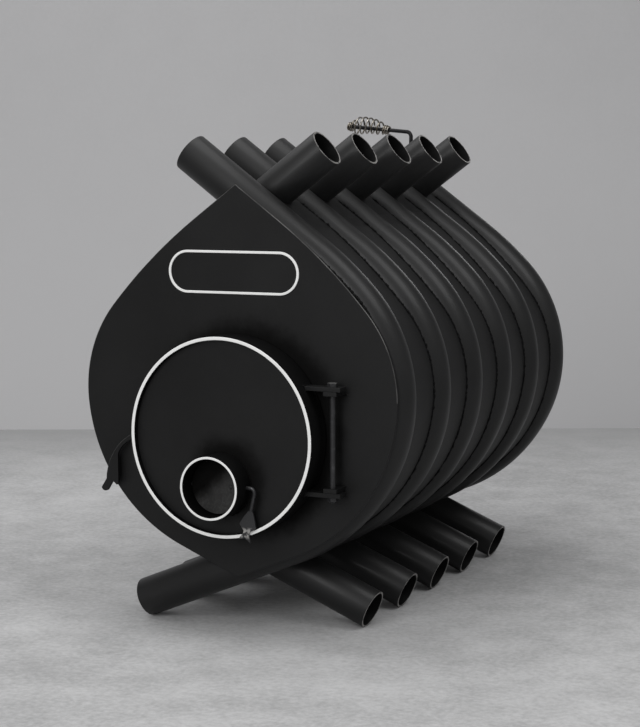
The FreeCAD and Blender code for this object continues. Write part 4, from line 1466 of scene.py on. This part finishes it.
class STOVE_OT_latch(bpy.types.Operator):
    """Fit the latch lever, its bolt and nut, and the keeper"""

    bl_idname = "stove.latch"
    bl_label = "Latch"

    def execute(self, context):
        bolt = sizes("fasteners")
        sheets = sizes("sheets")
        lever = dressed("latch_lever", "plate_enamel", sheets.lever_round)
        # The latch lever's upper-left edge gets a painted highlight.
        lit_side = polar(math.radians(150))

        def on_lit_edge(face):
            rounds_off = -FLAT_ON < face.normal.y < PAST_EDGE
            return rounds_off and face.normal.dot(lit_side) > TURNED_TO

        painted(lever, "rubbed_edge", on_lit_edge)
        dressed("latch_keeper", "plate_enamel", sheets.plate_round)
        foot = disc_of("latch_bolt")[0]
        deep = depth_of("latch_bolt")
        radius = bolt.latch_pin / 2
        head = bolt.latch_head
        start = deep - bolt.latch_thread
        outline = [(HUB, head), (radius, head), (radius, start - bolt.latch_runout)]
        outline += thread(radius, start, deep - bolt.thread_end) + [(HUB, deep)]
        shank = lathe(outline, bolt.bolt_sides, foot, AXIS_Y)
        cap = hexagon(bolt.latch_flats, head, HUB, False, foot + AXIS_Y * head, -AXIS_Y)
        tied(fastener("latch_bolt_finished", [shank, cap], "blackened_rod"), "latch_bolt")
        place = Vector((foot.x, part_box("latch_nut")[0].y, foot.z))
        nut = hexagon(bolt.latch_flats, depth_of("latch_nut"), radius, True, place, AXIS_Y)
        tied(fastener("latch_nut_finished", [nut], "blackened_rod"), "latch_nut")
        return {"FINISHED"}


def repeated(node, pattern, places, paint):
    """A node's like fasteners, one at each place."""
    made = grown(
        node + "_finished",
        path_mesh(node, [[place] for place in places], False),
        "set",
        Fastener=pattern,
        Material=finish(paint),
    )
    baked(made)
    mesh = pattern.data
    bpy.data.objects.remove(pattern)
    bpy.data.meshes.remove(mesh)
    return tied(smoothed(made, FASTENER_CREASE), node)


def node_places(node, reach):
    """Front middles of a node's separate solids along Y, found by their vertices."""
    clusters = []
    for vertex in frame["nodes"][node].data.vertices:
        flat = vertex.co.xz
        for cluster in clusters:
            if (flat - cluster[0]).length < reach:
                cluster.append(flat)
                break
        else:
            clusters.append([flat])
    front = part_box(node)[0].y
    places = []
    for cluster in clusters:
        xs, zs = zip(*cluster)
        places.append(Vector(((min(xs) + max(xs)) / 2, front, (min(zs) + max(zs)) / 2)))
    return places


class STOVE_OT_shield_fasteners(bpy.types.Operator):
    """Fit the studs and nuts that hold the heat shield"""

    bl_idname = "stove.shield_fasteners"
    bl_label = "Heat shield fasteners"

    def execute(self, context):
        bolt = sizes("fasteners")
        reach = bolt.stud_flats * 1.3
        deep = depth_of("shield_studs")
        radius = bolt.stud / 2
        broad = bolt.stud_shoulder / 2
        base = bolt.stud_spacing
        outline = [(HUB, 0), (broad, 0), (broad, base), (radius, base)]
        outline += thread(radius, base + bolt.stud_runout, deep - bolt.thread_end) + [(HUB, deep)]
        stud = lathe(outline, bolt.bolt_sides, ORIGIN, AXIS_Y)
        nut = hexagon(bolt.stud_flats, depth_of("shield_nuts"), radius, True, ORIGIN, AXIS_Y)
        for node, solid in (("shield_studs", stud), ("shield_nuts", nut)):
            pattern = fastener("pattern", [solid], "dulled_zinc")
            repeated(node, pattern, node_places(node, reach), "dulled_zinc")
        return {"FINISHED"}


def fit_rivets(node, paint):
    """Domed rivets through a damper's disc and rod."""
    bolt = sizes("fasteners")
    low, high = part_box(node)
    deep = high.y - low.y
    head = bolt.rivet_head / 2
    tall = bolt.rivet_height
    steps = 4
    dome = [math.pi / 2 * k / steps for k in range(steps + 1)]
    outline = [(max(head * math.sin(t), HUB), tall * (1 - math.cos(t))) for t in dome]
    outline += [(bolt.rivet / 2, tall), (bolt.rivet / 2, deep - tall)]
    outline += [(max(head * math.cos(t), HUB), deep - tall + tall * math.sin(t)) for t in dome]
    pattern = fastener("pattern", [lathe(outline, bolt.rivet_sides, ORIGIN, AXIS_Y)], paint)
    middle = (low.z + high.z) / 2
    places = [Vector((x, low.y, middle)) for x in (low.x + head, high.x - head)]
    repeated(node, pattern, places, paint)


class STOVE_OT_air_damper(bpy.types.Operator):
    """Dress the air damper's rod, finger plate, disc and rivets"""

    bl_idname = "stove.air_damper"
    bl_label = "Air damper"

    def execute(self, context):
        sheets = sizes("sheets")
        dressed("air_damper_rod", "blackened_rod")
        dressed("air_damper_handle", "fingered_rod", sheets.plate_round)
        # The disc and its rivets carry painted shadow over their upper-left part.
        dressed("air_damper_disc", "sooted_steel", sheets.disc_round)
        fit_rivets("air_damper_rivets", "sooted_steel")
        return {"FINISHED"}


class STOVE_OT_flue(bpy.types.Operator):
    """Turn the flue stub and dress its damper and crank"""

    bl_idname = "stove.flue"
    bl_label = "Flue stub and damper"

    def execute(self, context):
        door = sizes("door")
        radius = disc_of("flue_stub")[1]
        deep = depth_of("flue_stub")
        bore = radius - door.flue_wall
        step = deep - door.spigot_length
        draw = door.spigot_step
        corners = [(bore, 0), (radius, 0), (radius, step), (radius - draw, step + draw)]
        corners += [(radius - draw, deep), (bore - draw, deep), (bore - draw, step + draw), (bore, step)]
        turned("flue_stub", corners, "plate_enamel")
        dressed("flue_damper_crank", "smoked_rod")
        dressed("flue_damper_disc", "scaled_steel", sizes("sheets").disc_round)
        fit_rivets("flue_damper_rivets", "dulled_zinc")
        return {"FINISHED"}


def grip_point(turn):
    """Middle of the grip's wire after so many turns from the crank's end."""
    grip = sizes("grip")
    arm = polar(math.pi - grip.tilt)
    up = AXIS_Y.cross(arm)
    total = 2 * grip.tight_turns + grip.open_turns
    opened = min(max(turn - grip.tight_turns, 0), grip.open_turns)
    part = opened / grip.open_turns
    widest = grip.inner_radius + (grip.outer_radius - grip.inner_radius) * part
    swell = 1 - (2 * part - 1) ** grip.fullness
    radius = grip.end_radius + (widest - grip.end_radius) * swell
    from_end = min(turn, total - turn)
    if from_end < 1:
        radius = grip.hold_radius + (grip.end_radius - grip.hold_radius) * from_end
    along = grip.start + (turn - opened) * grip.tight_pitch + opened * grip.open_pitch
    lift = grip.arch * math.sin(math.pi * part)
    bearing = 2 * math.pi * turn
    spoke = AXIS_Y * math.cos(bearing) + up * math.sin(bearing)
    return Vector(grip.corner) + arm * along + up * lift + spoke * radius


class STOVE_OT_grip(bpy.types.Operator):
    """Wind the coil-spring grip"""

    bl_idname = "stove.grip"
    bl_label = "Spring grip"

    def execute(self, context):
        grip = sizes("grip")
        total = 2 * grip.tight_turns + grip.open_turns
        steps = round(total * grip.per_turn)
        line = [grip_point(total * k / steps) for k in range(steps + 1)]
        made = bar("spring_grip", [line], False, "nickel_wire", grip.wire / 2, grip.sides, capped=True)
        baked(rounded(made, grip.wire * grip.wire_round, CUT_CREASE))
        tied(smoothed(made, TURNED_CREASE), "spring_grip")
        return {"FINISHED"}


def studio_surface(name, tone, contrast, foot, heading, reach, change):
    """Plain matt studio paint, seen from its front only, changed in tone at the wall's foot: darker there
    is painted shade, paler is painted light.
    """
    paint = Finish(name)
    cloud = paint.noise(1.1, detail=6.0, roughness=0.6)
    mottle = paint.noise(11.0, detail=6.0, roughness=0.66)
    grain = paint.noise(110.0, detail=5.0, roughness=0.7)
    mask = paint.between(cloud * 0.35 + mottle * 0.3 + grain * 0.35, 0.34, 0.66)
    base = paint.mixed(mask, shade(tone, 1 - contrast), shade(tone, 1 + contrast))
    # Painted light: the tone changes by a factor towards the wall's foot.
    away = paint.between(paint.along(heading) - foot.dot(heading), -0.25, reach)
    base = paint.mixed(away, shade(tone, change), base)
    shader = paint.skin(Base_Color=base, Roughness=0.9, Specular_IOR_Level=0.15)
    behind = paint.add("ShaderNodeNewGeometry", output="Backfacing")
    clear = paint.add("ShaderNodeBsdfTransparent")
    return paint.end(paint.blend(behind, shader, clear))


def flat_sheet(name, corners, material):
    """One flat face of the studio."""
    mesh = bpy.data.meshes.new(name)
    mesh.from_pydata(corners, [], [(0, 1, 2, 3)])
    mesh.materials.append(material)
    made = new_object(name, mesh)
    return made


def lamp(name, place, target, width, height, power):
    """A soft light that faces a point."""
    data = bpy.data.lights.new(name, "AREA")
    data.shape = "RECTANGLE"
    data.size = width
    data.size_y = height
    data.energy = power
    made = new_object(name, data)
    made.location = place
    made.rotation_euler = (Vector(target) - Vector(place)).to_track_quat("-Z", "Y").to_euler()
    return made


def set_surfaces():
    """The floor, and the wall that the camera looks at."""
    stage = sizes("stage")
    colours = sizes("colours")
    reach = stage.reach
    view = Vector((-math.sin(stage.yaw), math.cos(stage.yaw), 0))
    across = Vector((view.y, -view.x, 0))
    foot = Vector(stage.camera) + view * stage.wall_distance
    foot.z = 0
    # The floor is painted darker along the wall's foot: painted shade.
    paint = studio_surface(
        "studio_floor", colours.floor, contrast=0.26, foot=foot, heading=-view, reach=0.85, change=0.78
    )
    corners = [(-reach, -reach, 0), (reach, -reach, 0), (reach, reach, 0), (-reach, reach, 0)]
    flat_sheet("studio_floor", corners, paint)
    # The wall is painted paler towards its foot: painted light that evens out the lamps.
    paint = studio_surface(
        "studio_wall", colours.wall, contrast=0.035, foot=foot, heading=AXIS_Z, reach=1.5, change=1.34
    )
    top = AXIS_Z * reach
    corners = [foot - across * reach, foot + across * reach]
    corners += [corners[1] + top, corners[0] + top]
    wall = flat_sheet("studio_wall", corners, paint)
    wall.visible_shadow = False


def set_lights():
    """Four soft lamps and an even white sky."""
    stage = sizes("stage")
    lamp("top_light", (-0.9, -0.1, 2.8), (-0.1, 0, 0.3), width=2.0, height=2.0, power=stage.top_power)
    lamp("tube_light", (1.5, -0.6, 2.6), (0.2, 0, 0.45), width=1.2, height=1.6, power=stage.tube_power)
    lamp("key_light", (0.05, -3.4, 1.9), (0, 0, 0.35), width=1.5, height=2.4, power=stage.key_power)
    lamp("rim_light", (-0.2, 4.0, 1.45), (0.15, 0, 0.55), width=0.6, height=0.6, power=stage.rim_power)
    world = bpy.data.worlds.new("studio")
    world.use_nodes = True
    sky = world.node_tree.nodes["Background"]
    sky.inputs["Color"].default_value = (1, 1, 1, 1)
    sky.inputs["Strength"].default_value = stage.sky
    bpy.context.scene.world = world


def set_camera():
    """The camera at the photograph's viewing angle."""
    stage = sizes("stage")
    data = bpy.data.cameras.new("photograph_view")
    data.lens = stage.lens
    data.sensor_width = stage.sensor
    camera = new_object("photograph_view", data)
    turn = Matrix.Rotation(stage.yaw, 3, "Z") @ Matrix.Rotation(math.pi / 2 - stage.pitch, 3, "X")
    camera.rotation_euler = (turn @ Matrix.Rotation(stage.roll, 3, "Z")).to_euler()
    camera.location = stage.camera
    bpy.context.scene.camera = camera
    bpy.context.scene.view_settings.view_transform = "Standard"


class STOVE_OT_stage(bpy.types.Operator):
    """Set the floor, the wall, the lights and the camera"""

    bl_idname = "stove.stage"
    bl_label = "Studio"

    def execute(self, context):
        set_surfaces()
        set_lights()
        set_camera()
        return {"FINISHED"}


OPERATORS = (
    STOVE_OT_tubes,
    STOVE_OT_sheets,
    STOVE_OT_welds,
    STOVE_OT_door,
    STOVE_OT_rope,
    STOVE_OT_hinge,
    STOVE_OT_latch,
    STOVE_OT_shield_fasteners,
    STOVE_OT_air_damper,
    STOVE_OT_flue,
    STOVE_OT_grip,
    STOVE_OT_stage,
)


class STOVE_PT_panel(bpy.types.Panel):
    """Sizes, colours and steps of the stove"""

    bl_idname = "STOVE_PT_panel"
    bl_label = "Convection wood stove"
    bl_space_type = "VIEW_3D"
    bl_region_type = "UI"
    bl_category = "Stove"

    def draw(self, context):
        layout = self.layout
        for operator in OPERATORS:
            layout.operator(operator.bl_idname)
        for group, kind in GROUPS.items():
            box = layout.box()
            box.label(text=kind.__doc__)
            for name in kind.__annotations__:
                box.prop(sizes(group), name)


def register():
    """Makes the groups, operators and panel known to Blender."""
    for name, kind in GROUPS.items():
        bpy.utils.register_class(kind)
        setattr(bpy.types.Scene, "stove_" + name, PointerProperty(type=kind))
    for kind in OPERATORS + (STOVE_PT_panel,):
        bpy.utils.register_class(kind)


def unregister():
    """Takes them out again."""
    for kind in (STOVE_PT_panel,) + OPERATORS[::-1]:
        bpy.utils.unregister_class(kind)
    for name, kind in GROUPS.items():
        delattr(bpy.types.Scene, "stove_" + name)
        bpy.utils.unregister_class(kind)


def main():
    """Builds the stove and its studio."""
    register()
    for operator in OPERATORS:
        family, step = operator.bl_idname.split(".")
        getattr(getattr(bpy.ops, family), step)()


if __name__ == "__main__":
    main()
